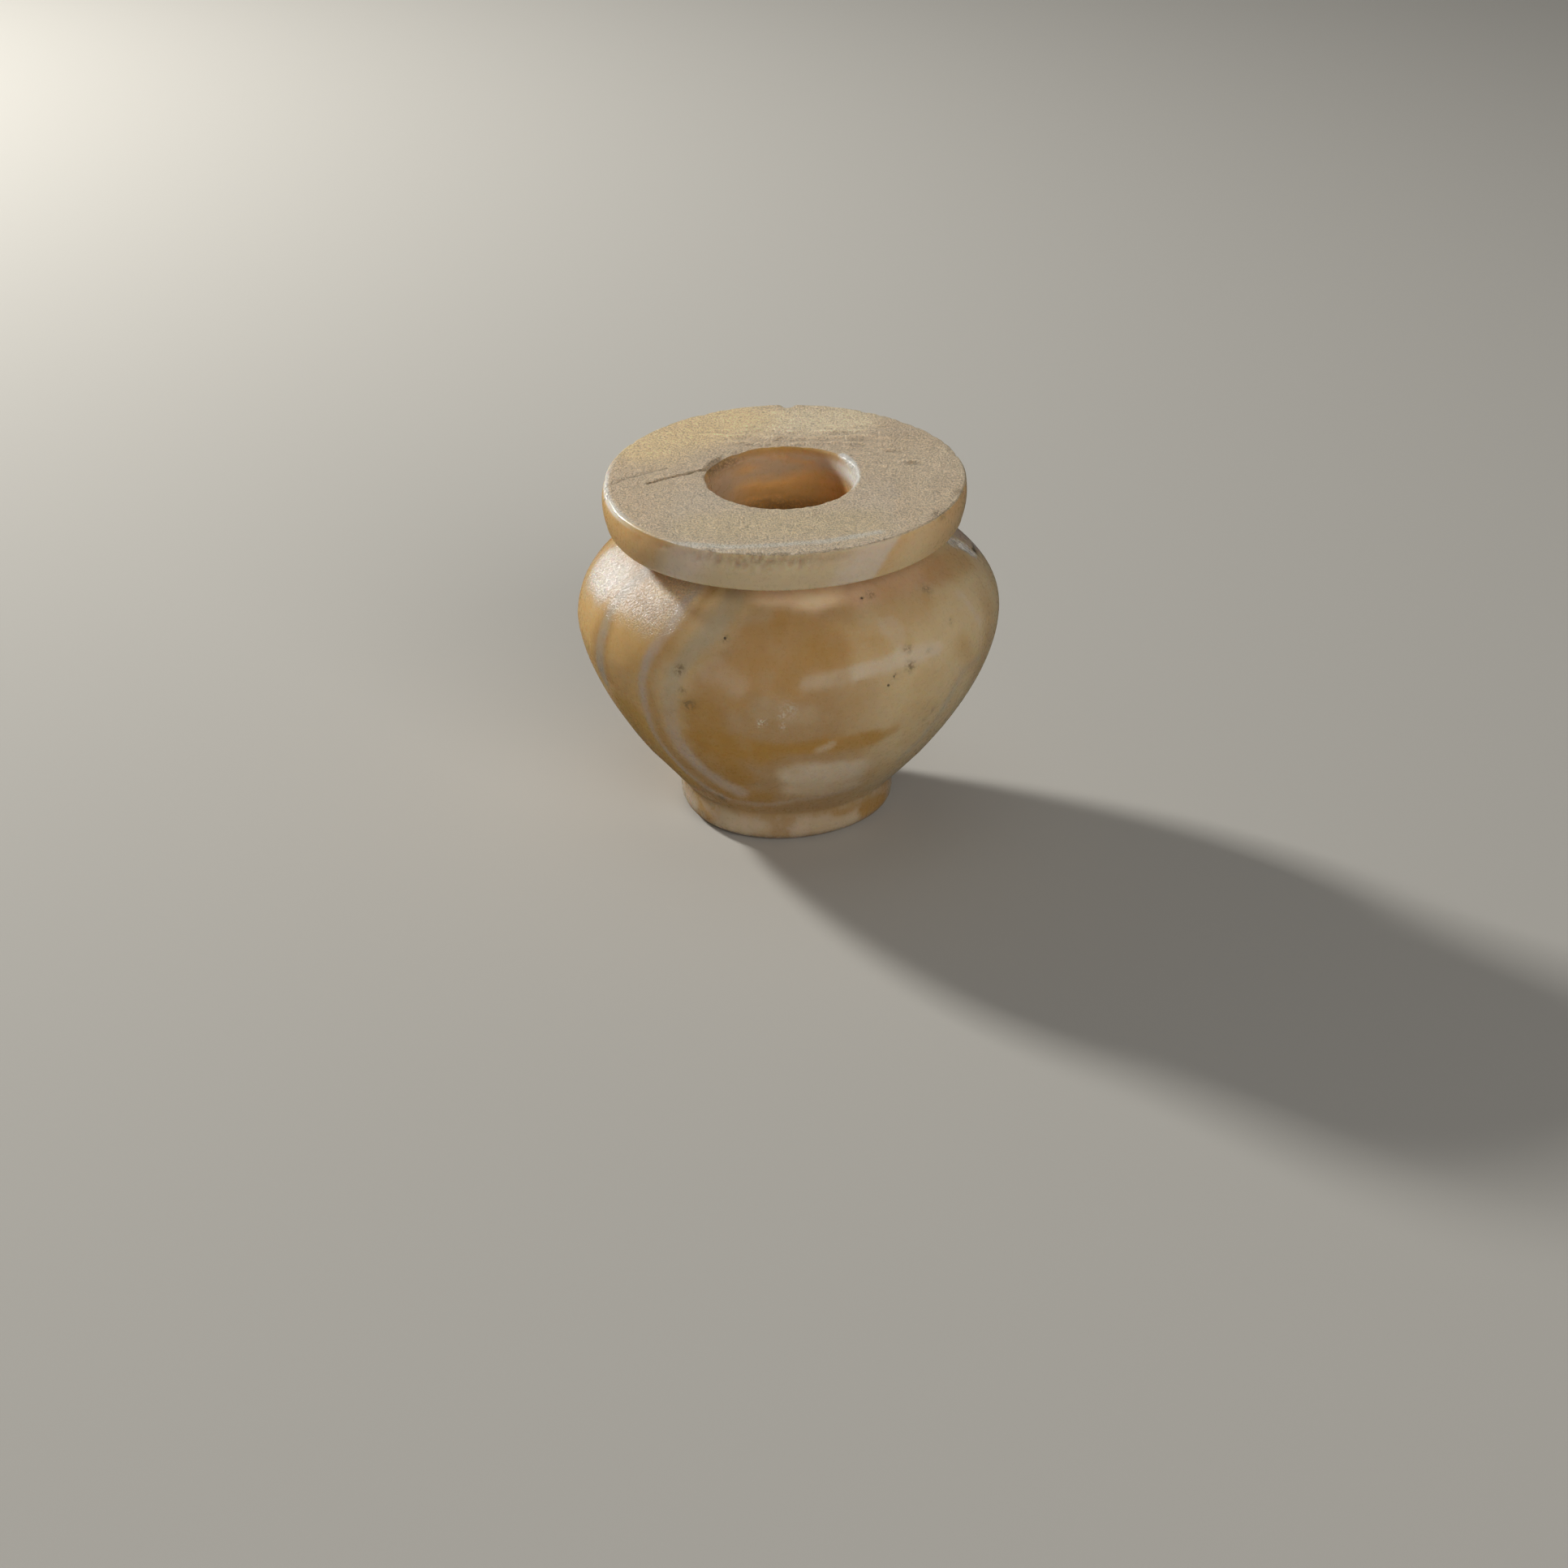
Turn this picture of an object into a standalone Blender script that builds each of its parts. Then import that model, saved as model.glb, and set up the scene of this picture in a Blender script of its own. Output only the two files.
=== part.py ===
"""A small round cosmetic jar cut from one lump of banded calcite.

It has a low foot, a swelling body, a groove under a wide flat disc rim, and a hollow bored down from the mouth.
The whole jar is one closed skin of rings, run up the outside, across the rim and down the hollow. Metres, +Z up,
with the origin under the middle of the body on the surface that the jar stands on. The front of the jar faces -Y.
"""

import math

import bmesh
import bpy
import numpy as np

# Heights up the outside
JAR_HEIGHT = 0.0422           # middle of the rim's flat top
RIM_THICKNESS = 0.0047
NECK_HEIGHT = 0.0010          # the groove's wall, between the shoulder and the rim
WIDEST_HEIGHT = 0.0250
FOOT_HEIGHT = 0.0042

# Radii of the outside
BODY_RADIUS = 0.02395
FOOT_RADIUS = 0.01295
NECK_RADIUS = 0.0144
RIM_RADIUS = 0.0210

# Edges and swellings of the outside
FOOT_EDGE_ROUND = 0.0018
RIM_EDGE_ROUND = 0.0006       # the rim's lower edge
RIM_LEAN = 0.00025            # how far the rim's side leans in on its way down
RIM_BULGE = 0.00026
RIM_TOP_WEAR = 0.0002
SWELL_POWER = 1.55            # the lower body: 1 is a cone, 2 is a full belly
SHOULDER_POWER = 2.5
GROOVE_SLOPE_POWER = 6        # how late, going up the shoulder, its rings begin to slope as the rim does

# The hollow
BORE_RADIUS = 0.0084
BORE_LENGTH = 0.0100
CHAMBER_RADIUS = 0.0100
CHAMBER_WIDENING = 0.0060     # the height over which the bore opens into the chamber
FLOOR_THICKNESS = 0.0070
FLOOR_ROUND = 0.0050
MOUTH_WEAR = 0.0003
MOUTH_BEVEL_DEPTH = 0.0012

# The lip of the mouth is broken back at its left rear, beside the crack in the rim
LIP_BREAK = 0.0006
LIP_BREAK_AZIMUTH = math.radians(146)
LIP_BREAK_SPREAD = math.radians(26)

# Where the hand-cut parts stray from one another: centres, and the slope of the rim
SHOULDER_SHIFT_X = 0.0009
RIM_CENTRE = (-0.00055, -0.0005)
MOUTH_CENTRE = (-0.0007, -0.0009)
RIM_RISE_X = 0.039            # the rim's top rises this much for each unit to the right
RIM_RISE_Y = 0.041            # and this much for each unit to the back

# How far each part is from round: {lobes round the jar: (share of radius at +X, share a quarter lobe on)}
FOOT_LOBES = {3: (0.025, -0.003)}
BODY_LOBES = {2: (0.044, 0.0), 3: (0.008, -0.003)}
RIM_LOBES = {2: (0.0, -0.004), 3: (0.0045, -0.0055)}
MOUTH_LOBES = {2: (0.010, -0.007), 3: (-0.008, 0.009)}
ROUND = {}

# The chip on the shoulder, below the rim, and the nick in the back of the rim
CHIP_AZIMUTH = math.radians(1.5)
CHIP_HEIGHT = 0.0326
CHIP_LENGTH = 0.0054          # down the shoulder
CHIP_WIDTH = 0.0026           # round the shoulder
CHIP_DEPTH = 0.0006
NICK_AZIMUTH = math.radians(89)
NICK_WIDTH = 0.0016
NICK_DEPTH = 0.0005

# How finely the skin is divided
SEGMENTS = 72
BODY_RINGS = 14
SHOULDER_RINGS = 9
EDGE_RINGS = 4
SIDE_RINGS = 4
CHAMBER_RINGS = 6

STONE_COLOUR = (0.76, 0.60, 0.40, 1.0)
STONE_ROUGHNESS = 0.38


def clear_scene():
    """Removes whatever the scene holds."""
    for found in list(bpy.data.objects):
        bpy.data.objects.remove(found, do_unlink=True)


def blend(lobes_a, lobes_b, share):
    """The lobes that lie between two sets of them, share of the way from a to b."""
    mixed = {}
    for order in sorted(set(lobes_a) | set(lobes_b)):
        a = np.array(lobes_a.get(order, (0.0, 0.0)))
        b = np.array(lobes_b.get(order, (0.0, 0.0)))
        mixed[order] = tuple(a + (b - a) * share)
    return mixed


def angles():
    """The azimuths of a ring's points."""
    return np.arange(SEGMENTS) * 2 * math.pi / SEGMENTS


def wander(azimuth, lobes):
    """Radius at each azimuth as a share of the round radius: 1 plus each lobe's cosine and sine."""
    share = np.ones_like(azimuth)
    for order, (along, across) in lobes.items():
        share = share + along * np.cos(order * azimuth) + across * np.sin(order * azimuth)
    return share


def ring(radius, height, centre=(0.0, 0.0), lobes=ROUND, slope=0.0):
    """Points of one ring: lobed, off centre, and with slope 1 lying in a plane that slopes as the rim does."""
    azimuth = angles()
    reach = radius * wander(azimuth, lobes)
    x = centre[0] + reach * np.cos(azimuth)
    y = centre[1] + reach * np.sin(azimuth)
    z = height + slope * (RIM_RISE_X * x + RIM_RISE_Y * y)
    return np.stack([x, y, np.broadcast_to(z, x.shape)], axis=1)


def quarter(count):
    """Cosine and sine at even steps round a quarter circle."""
    turn = np.linspace(0, math.pi / 2, count)
    return zip(np.cos(turn), np.sin(turn))


def foot_rings():
    """The underside's edge, its rounding, and the foot's upright side, up to the crease below the body."""
    flat = FOOT_RADIUS - FOOT_EDGE_ROUND
    rings = []
    for along, up in quarter(EDGE_RINGS):
        rings.append(ring(flat + FOOT_EDGE_ROUND * up, FOOT_EDGE_ROUND * (1 - along), lobes=FOOT_LOBES))
    rings.append(ring(FOOT_RADIUS, FOOT_HEIGHT, lobes=FOOT_LOBES))
    return rings


def belly_radius(height):
    """Outer radius of the body below its widest place: a power curve that leaves the foot at a slope and ends upright."""
    short = (WIDEST_HEIGHT - height) / (WIDEST_HEIGHT - FOOT_HEIGHT)
    return BODY_RADIUS - (BODY_RADIUS - FOOT_RADIUS) * short**SWELL_POWER


def shoulder_top():
    """The height at which the shoulder meets the neck."""
    return JAR_HEIGHT - RIM_THICKNESS - NECK_HEIGHT


def shoulder_share(height):
    """How far up the shoulder a height lies, from 0 at the widest place to 1 at the neck."""
    return (height - WIDEST_HEIGHT) / (shoulder_top() - WIDEST_HEIGHT)


def shoulder_radius(height):
    """Outer radius of the shoulder: a power curve that starts upright and turns in faster and faster to the neck."""
    return BODY_RADIUS - (BODY_RADIUS - NECK_RADIUS) * shoulder_share(height) ** SHOULDER_POWER


def shoulder_ring(height):
    """One ring of the shoulder. Going up, it strays to the right, grows round and comes to slope as the rim does."""
    share = shoulder_share(height)
    lobes = blend(BODY_LOBES, ROUND, share**SHOULDER_POWER)
    return ring(shoulder_radius(height), height, (SHOULDER_SHIFT_X * share, 0.0), lobes, share**GROOVE_SLOPE_POWER)


def body_rings():
    """From above the crease to the neck. Rings draw together towards the neck, where the outline turns fastest."""
    rings = []
    for share in np.linspace(0, 1, BODY_RINGS + 1)[1:]:
        height = FOOT_HEIGHT + (WIDEST_HEIGHT - FOOT_HEIGHT) * share
        rings.append(ring(belly_radius(height), height, lobes=blend(FOOT_LOBES, BODY_LOBES, min(1.0, 4 * share))))
    for share in np.linspace(0, 1, SHOULDER_RINGS + 1)[1:]:
        eased = 1 - (1 - share) ** 1.5
        rings.append(shoulder_ring(WIDEST_HEIGHT + (shoulder_top() - WIDEST_HEIGHT) * eased))
    return rings


def rim_rings():
    """The neck's top, the underside of the rim, its rounded lower edge, its leaning side, and its flat top."""
    underside = JAR_HEIGHT - RIM_THICKNESS
    side_foot = RIM_RADIUS - RIM_LEAN
    rings = [ring(NECK_RADIUS, underside, (SHOULDER_SHIFT_X, 0.0), ROUND, 1.0)]
    for along, up in quarter(EDGE_RINGS):
        reach = side_foot - RIM_EDGE_ROUND * (1 - up)
        rings.append(ring(reach, underside + RIM_EDGE_ROUND * (1 - along), RIM_CENTRE, RIM_LOBES, 1.0))
    upright = RIM_THICKNESS - RIM_EDGE_ROUND - RIM_TOP_WEAR
    for share in np.linspace(0, 1, SIDE_RINGS + 1)[1:]:
        reach = side_foot + RIM_LEAN * share + RIM_BULGE * math.sin(math.pi * share)
        height = underside + RIM_EDGE_ROUND + upright * share
        rings.append(ring(reach, height, RIM_CENTRE, RIM_LOBES, 1.0))
    rings.append(ring(RIM_RADIUS - RIM_TOP_WEAR, JAR_HEIGHT, RIM_CENTRE, RIM_LOBES, 1.0))
    return rings


def lip_break():
    """How much further back the mouth's lip is broken at each azimuth: one bump round its left rear."""
    turned = (angles() - LIP_BREAK_AZIMUTH + math.pi) % (2 * math.pi) - math.pi
    return LIP_BREAK * np.exp(-((turned / LIP_BREAK_SPREAD) ** 2))


def mouth_ring(wear, height):
    """One ring of the mouth. Its radius is the bore's, with a share of the lip's wear and break added."""
    reach = BORE_RADIUS + wear * (MOUTH_WEAR + lip_break())
    return ring(reach, height, MOUTH_CENTRE, MOUTH_LOBES, 1.0)


def hollow_rings():
    """From the lip of the mouth down the bore, out into the chamber and round to the flat of its floor."""
    rings = [mouth_ring(1.0, JAR_HEIGHT)]
    rings.append(mouth_ring(0.45, JAR_HEIGHT - 0.5 * MOUTH_BEVEL_DEPTH))
    rings.append(mouth_ring(0.0, JAR_HEIGHT - MOUTH_BEVEL_DEPTH))
    bore_end = JAR_HEIGHT - BORE_LENGTH
    chamber_top = bore_end - CHAMBER_WIDENING
    rings.append(ring(BORE_RADIUS, bore_end, MOUTH_CENTRE))
    for share in np.linspace(0, 1, EDGE_RINGS)[1:]:
        eased = share * share * (3 - 2 * share)
        reach = BORE_RADIUS + (CHAMBER_RADIUS - BORE_RADIUS) * eased
        rings.append(ring(reach, bore_end - CHAMBER_WIDENING * share, MOUTH_CENTRE))
    corner = FLOOR_THICKNESS + FLOOR_ROUND
    rings.append(ring(CHAMBER_RADIUS, 0.5 * (chamber_top + corner), MOUTH_CENTRE))
    for along, down in quarter(CHAMBER_RINGS):
        reach = CHAMBER_RADIUS - FLOOR_ROUND * (1 - along)
        rings.append(ring(reach, corner - FLOOR_ROUND * down, MOUTH_CENTRE))
    return rings


def skin(name, rings):
    """One closed mesh: quads from each ring to the next, and a flat face that closes each end."""
    mesh = bmesh.new()
    loops = [[mesh.verts.new(point) for point in points] for points in rings]
    for lower, upper in zip(loops, loops[1:]):
        for k in range(SEGMENTS):
            after = (k + 1) % SEGMENTS
            mesh.faces.new((lower[k], lower[after], upper[after], upper[k]))
    mesh.faces.new(reversed(loops[0]))
    mesh.faces.new(loops[-1])
    data = bpy.data.meshes.new(name)
    mesh.to_mesh(data)
    mesh.free()
    placed = bpy.data.objects.new(name, data)
    bpy.context.scene.collection.objects.link(placed)
    return placed


def scoop(name, place, sizes, turn):
    """A cutter that leaves a shallow hollow: an ellipsoid of the given half sizes, turned about Z and leaned back."""
    mesh = bmesh.new()
    bmesh.ops.create_icosphere(mesh, subdivisions=2, radius=1.0)
    bmesh.ops.scale(mesh, vec=sizes, verts=mesh.verts)
    data = bpy.data.meshes.new(name)
    mesh.to_mesh(data)
    mesh.free()
    cutter = bpy.data.objects.new(name, data)
    cutter.location = place
    cutter.rotation_euler = turn
    cutter.hide_render = True
    cutter.display_type = "WIRE"
    bpy.context.scene.collection.objects.link(cutter)
    return cutter


def cut(part, cutter):
    """Takes the cutter's shape out of the part."""
    boolean = part.modifiers.new(cutter.name, "BOOLEAN")
    boolean.operation = "DIFFERENCE"
    boolean.solver = "EXACT"
    boolean.object = cutter


def shoulder_chip():
    """The scoop for the chip. It sits on the shoulder's own surface and leans as the shoulder does there."""
    share = shoulder_share(CHIP_HEIGHT)
    reach = shoulder_radius(CHIP_HEIGHT)
    drop = SHOULDER_POWER * (BODY_RADIUS - NECK_RADIUS) * share ** (SHOULDER_POWER - 1)
    lean = math.atan2(drop, shoulder_top() - WIDEST_HEIGHT)
    bulge = CHIP_DEPTH * 2
    lifted = reach + (bulge - CHIP_DEPTH) * math.cos(lean)
    place = (
        SHOULDER_SHIFT_X * share + lifted * math.cos(CHIP_AZIMUTH),
        lifted * math.sin(CHIP_AZIMUTH),
        CHIP_HEIGHT + (bulge - CHIP_DEPTH) * math.sin(lean),
    )
    return scoop("chip_cutter", place, (bulge, CHIP_WIDTH / 2, CHIP_LENGTH / 2), (0.0, -lean, CHIP_AZIMUTH))


def rim_nick():
    """The scoop for the nick: a small upright spindle that bites into the back of the rim's top edge."""
    reach = RIM_RADIUS + NICK_WIDTH / 2 - NICK_DEPTH
    x = RIM_CENTRE[0] + reach * math.cos(NICK_AZIMUTH)
    y = RIM_CENTRE[1] + reach * math.sin(NICK_AZIMUTH)
    z = JAR_HEIGHT + RIM_RISE_X * x + RIM_RISE_Y * y
    return scoop("nick_cutter", (x, y, z), (NICK_WIDTH / 2,) * 3, (0.0, 0.0, 0.0))


def stone():
    """Honey-coloured calcite with a soft polish."""
    material = bpy.data.materials.new("banded_calcite")
    material.use_nodes = True
    shader = material.node_tree.nodes["Principled BSDF"]
    shader.inputs["Base Color"].default_value = STONE_COLOUR
    shader.inputs["Roughness"].default_value = STONE_ROUGHNESS
    shader.inputs["Metallic"].default_value = 0.0
    shader.inputs["IOR"].default_value = 1.5
    return material


def make_jar():
    """The whole jar, as one piece of stone."""
    jar = skin("jar", foot_rings() + body_rings() + rim_rings() + hollow_rings())
    jar.data.materials.append(stone())
    jar.data.shade_smooth()
    jar.data.set_sharp_from_angle(angle=math.radians(35))
    cut(jar, shoulder_chip())
    cut(jar, rim_nick())
    return jar


clear_scene()
make_jar()
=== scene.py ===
# %% [markdown]
# A small ancient cosmetic jar, cut from one lump of banded calcite. This file dresses the jar: it makes the
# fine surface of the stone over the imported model, gives it a stone finish, and lights it for a picture.
#
# The jar is one piece. It has a low foot, a swelling body and a wide flat disc rim round a bored mouth. The
# stone is built of nested layers, so pale veins curve over the body and cross the rim, and where the polish
# is gone the stone is pale and sandy.

import functools
import itertools
import math

import bpy
import numpy as np
from mathutils import Matrix, Vector


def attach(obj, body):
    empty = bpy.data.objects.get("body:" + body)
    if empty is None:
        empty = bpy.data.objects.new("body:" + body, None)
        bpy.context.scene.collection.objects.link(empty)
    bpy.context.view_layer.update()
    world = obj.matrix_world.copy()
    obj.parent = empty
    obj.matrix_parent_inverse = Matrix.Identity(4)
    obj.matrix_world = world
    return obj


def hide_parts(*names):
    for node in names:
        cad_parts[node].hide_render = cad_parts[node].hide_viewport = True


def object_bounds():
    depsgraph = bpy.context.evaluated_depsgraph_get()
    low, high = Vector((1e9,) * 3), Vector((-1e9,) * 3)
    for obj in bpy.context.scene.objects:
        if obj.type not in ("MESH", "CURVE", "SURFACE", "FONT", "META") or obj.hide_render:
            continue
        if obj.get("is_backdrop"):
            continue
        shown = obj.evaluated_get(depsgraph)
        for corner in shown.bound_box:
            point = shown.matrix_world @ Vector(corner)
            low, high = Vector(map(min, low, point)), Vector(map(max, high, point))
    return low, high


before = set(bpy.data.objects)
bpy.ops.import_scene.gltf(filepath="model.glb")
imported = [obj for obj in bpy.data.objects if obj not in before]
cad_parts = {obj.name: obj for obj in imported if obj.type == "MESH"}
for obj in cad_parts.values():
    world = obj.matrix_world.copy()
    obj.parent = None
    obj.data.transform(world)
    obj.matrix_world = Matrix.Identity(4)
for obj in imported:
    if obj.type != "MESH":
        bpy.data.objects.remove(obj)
cad_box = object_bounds()
MM = 0.001
packed_size = [round(v / MM, 2) for v in cad_box[1] - cad_box[0]]
print("packed nodes:", sorted(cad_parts), "size in mm:", packed_size)

# %% [markdown]
# The camera comes first, because every later choice is judged through it. It looks down on the jar from
# nearly 29 degrees and is turned a little about its own axis. Its three axes are written out as vectors,
# which is easier to check than three angles: the third one points from the jar back to the lens.

# %% Camera
CAMERA_ELEVATION = math.radians(28.698)
CAMERA_ROLL = math.radians(0.7993)
CAMERA_DISTANCE = 319.03 * MM
AIM_HEIGHT = 1.082 * MM
FOCAL_LENGTH = 59.20          # in millimetres, as Blender wants it, and so is the sensor
SENSOR_WIDTH = 36.0
NEAREST_SEEN = 0.01           # metres
FARTHEST_SEEN = 10.0


def add_camera():
    """The camera stands CAMERA_DISTANCE from AIM_HEIGHT, along the unit vector at CAMERA_ELEVATION."""
    back = Vector((0.0, -math.cos(CAMERA_ELEVATION), math.sin(CAMERA_ELEVATION)))
    up = Vector((0.0, math.sin(CAMERA_ELEVATION), math.cos(CAMERA_ELEVATION)))
    right = Vector((1.0, 0.0, 0.0))
    rolled_right = right * math.cos(CAMERA_ROLL) + up * math.sin(CAMERA_ROLL)
    rolled_up = up * math.cos(CAMERA_ROLL) - right * math.sin(CAMERA_ROLL)
    camera = bpy.data.objects.new("camera", bpy.data.cameras.new("camera"))
    axes = Matrix((rolled_right, rolled_up, back)).transposed()
    place = Vector((0.0, 0.0, AIM_HEIGHT)) + back * CAMERA_DISTANCE
    camera.matrix_world = Matrix.Translation(place) @ axes.to_4x4()
    camera.data.lens = FOCAL_LENGTH
    camera.data.sensor_width = SENSOR_WIDTH
    camera.data.clip_start = NEAREST_SEEN
    camera.data.clip_end = FARTHEST_SEEN
    bpy.context.scene.collection.objects.link(camera)
    return camera


bpy.context.scene.camera = add_camera()
print("camera at", [round(v, 4) for v in bpy.context.scene.camera.location])

# %% [markdown]
# Calcite shows best in a low light from behind, which rakes over the sandy rim, catches the polished
# shoulder and throws the lip's shadow into the bore. A broad soft light from the front keeps the belly
# readable. Each light is placed by its azimuth and elevation as seen from the jar, and turned to face it.
# Only the key light is mirrored in the polish. The soft lights and the floor are left out of reflections,
# as with a polariser, since a pale sheen over the belly would hide the depth of the honey-coloured stone.

# %% Studio light and floor
LIGHTS = {
    # name: azimuth, elevation in degrees, distance and size in metres, power in watts, colour
    "key_light": (142.0, 26.0, 0.70, 0.08, 4.8, (1.0, 0.99, 0.97)),
    "front_softbox": (-66.0, 26.0, 0.90, 0.60, 3.5, (1.0, 0.98, 0.97)),
    "overhead_softbox": (90.0, 84.0, 0.90, 0.60, 0.5, (1.0, 0.99, 0.98)),
}
WORLD_GREY = (0.92, 0.95, 1.0)
WORLD_STRENGTH = 0.05
FLOOR_HALF_WIDTH = 3.0
FLOOR_COLOUR = (0.55, 0.53, 0.48, 1.0)
FLOOR_ROUGHNESS = 0.9
FLOOR_SPECULAR = 0.2
JAR_MIDDLE = Vector((0.0, 0.0, 0.022))


def add_light(name, azimuth, elevation, distance, size, power, colour):
    """A square area light at JAR_MIDDLE plus distance times its direction, facing back along it."""
    turn, climb = math.radians(azimuth), math.radians(elevation)
    direction = Vector((math.cos(turn) * math.cos(climb), math.sin(turn) * math.cos(climb), math.sin(climb)))
    data = bpy.data.lights.new(name, "AREA")
    data.size = size
    data.energy = power
    data.color = colour
    light = bpy.data.objects.new(name, data)
    light.location = JAR_MIDDLE + direction * distance
    light.rotation_euler = direction.to_track_quat("Z", "Y").to_euler()
    light.visible_glossy = name == "key_light"
    bpy.context.scene.collection.objects.link(light)


def add_floor():
    """One square face at height 0, in plain pale matt paint."""
    half = FLOOR_HALF_WIDTH
    mesh = bpy.data.meshes.new("floor")
    corners = [(-half, -half, 0), (half, -half, 0), (half, half, 0), (-half, half, 0)]
    mesh.from_pydata(corners, [], [(0, 1, 2, 3)])
    paint = bpy.data.materials.new("floor_paint")
    paint.use_nodes = True
    shader = paint.node_tree.nodes["Principled BSDF"]
    shader.inputs["Base Color"].default_value = FLOOR_COLOUR
    shader.inputs["Roughness"].default_value = FLOOR_ROUGHNESS
    shader.inputs["Specular IOR Level"].default_value = FLOOR_SPECULAR
    mesh.materials.append(paint)
    floor = bpy.data.objects.new("floor", mesh)
    floor.visible_glossy = False
    bpy.context.scene.collection.objects.link(floor)
    return floor


for light_name, values in LIGHTS.items():
    add_light(light_name, *values)
world = bpy.data.worlds.new("studio")
world.use_nodes = True
world.node_tree.nodes["Background"].inputs["Color"].default_value = (*WORLD_GREY, 1.0)
world.node_tree.nodes["Background"].inputs["Strength"].default_value = WORLD_STRENGTH
bpy.context.scene.world = world
bpy.context.scene.view_settings.view_transform = "Standard"
add_floor()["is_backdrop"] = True
print("lights:", list(LIGHTS))

# %% [markdown]
# The jar was turned and ground by hand, so no part of it is quite round, level or centred. Each ring of its
# skin is a circle with a few lobes, its own centre, and a share of the rim's slope. The whole jar is then a
# profile carried round: one row of numbers for each ring, from the middle of the underside up the outside,
# over the rim, and down the hollow to the middle of its floor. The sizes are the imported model's.

# %% Sizes of the jar
JAR_HEIGHT = 42.2 * MM
RIM_THICKNESS = 4.7 * MM
NECK_HEIGHT = 1.0 * MM
WIDEST_HEIGHT = 25.0 * MM
FOOT_HEIGHT = 4.2 * MM
BODY_RADIUS = 23.95 * MM
FOOT_RADIUS = 12.95 * MM
NECK_RADIUS = 14.4 * MM
RIM_RADIUS = 21.0 * MM
FOOT_EDGE_ROUND = 1.8 * MM
RIM_EDGE_ROUND = 0.6 * MM
RIM_LEAN = 0.25 * MM
RIM_BULGE = 0.26 * MM
RIM_TOP_WEAR = 0.25 * MM
SWELL_POWER = 1.55
SHOULDER_POWER = 2.5
GROOVE_SLOPE_POWER = 6
BORE_RADIUS = 8.4 * MM
BORE_LENGTH = 10.0 * MM
CHAMBER_RADIUS = 10.0 * MM
CHAMBER_WIDENING = 6.0 * MM
FLOOR_THICKNESS = 7.0 * MM
FLOOR_ROUND = 5.0 * MM
MOUTH_WEAR = 0.3 * MM
MOUTH_BEVEL_DEPTH = 1.2 * MM
LIP_ROUND = 0.18 * MM          # how far the top ends before the bore's wall
LIP_CORNER = 0.15 * MM
LIP_CORNER_DROP = 0.3 * MM
BEVEL_DROPS = np.array([0.03, 0.09, 0.18, 0.3, 0.45, 0.62, 0.8, 1.0, 1.2]) * MM
LIP_BREAK = 0.12 * MM
LIP_BREAK_DROP = 0.14 * MM
LIP_BREAK_WIDTH = 0.60 * MM
LIP_BREAK_BEARING = 146.0     # bearings and their spreads are in degrees
LIP_BREAK_SPREAD = 24.0
LIP_RUB = 0.05 * MM
LIP_RUB_BEARING = 8.0
LIP_RUB_SPREAD = 27.0
SHOULDER_SHIFT_X = 0.9 * MM
RIM_CENTRE = (-0.55 * MM, -0.5 * MM)
MOUTH_CENTRE = (-0.7 * MM, -0.9 * MM)
RIM_RISE = (0.039, 0.041)     # the rim's top rises this much for each unit to the right and to the back

LIP_COLUMN = 6                # of a ring's eleven numbers, the one that says how near the lip is

# lobes: cosine and sine share of two lobes round the jar, then of three
ROUND = np.zeros(4)
FOOT_LOBES = np.array([0.0, 0.0, 0.025, -0.003])
BODY_LOBES = np.array([0.044, 0.0, 0.008, -0.003])
RIM_LOBES = np.array([0.0, -0.004, 0.0045, -0.0055])
MOUTH_LOBES = np.array([0.010, -0.007, -0.008, 0.009])


def steps(count, first=0.0):
    """Even steps from first to 1."""
    return np.linspace(first, 1.0, count)


def smooth(t):
    """0 below 0, 1 above 1, and the curve 3tt - 2ttt between."""
    t = np.clip(t, 0.0, 1.0)
    return t * t * (3 - 2 * t)


def stretch(radius, height, centre=(0.0, 0.0), lobes=ROUND, slope=0.0, wear=0.0, lip=0.0):
    """A run of rings as rows of eleven numbers: radius, height, centre x and y, slope, lip wear, nearness
    to the lip, and four lobes."""
    count = np.broadcast(np.asarray(radius), np.asarray(height)).size
    columns = [np.broadcast_to(value, count) for value in (radius, height, *centre, slope, wear, lip)]
    return np.column_stack([*columns, np.broadcast_to(lobes, (count, 4))])


def foot_stretch():
    """The flat underside from its middle, the quarter round at its edge, and the foot's upright side."""
    flat = FOOT_RADIUS - FOOT_EDGE_ROUND
    turn = steps(7) * math.pi / 2
    underside = stretch(flat * steps(7, 0.06)[:-1], 0.0, lobes=FOOT_LOBES)
    edge = stretch(flat + FOOT_EDGE_ROUND * np.sin(turn), FOOT_EDGE_ROUND * (1 - np.cos(turn)),
                   lobes=FOOT_LOBES)
    rise = FOOT_EDGE_ROUND + (FOOT_HEIGHT - FOOT_EDGE_ROUND) * steps(9, 0.12)
    return [underside, edge, stretch(FOOT_RADIUS, rise, lobes=FOOT_LOBES)]


def belly_stretch(count=44):
    """Body radius less a share that grows as a power of the distance below the widest place."""
    share = steps(count + 1)[1:]
    height = FOOT_HEIGHT + (WIDEST_HEIGHT - FOOT_HEIGHT) * share
    radius = BODY_RADIUS - (BODY_RADIUS - FOOT_RADIUS) * (1 - share) ** SWELL_POWER
    lobes = FOOT_LOBES + (BODY_LOBES - FOOT_LOBES) * np.minimum(1.0, 4 * share)[:, None]
    return stretch(radius, height, lobes=lobes)


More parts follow.
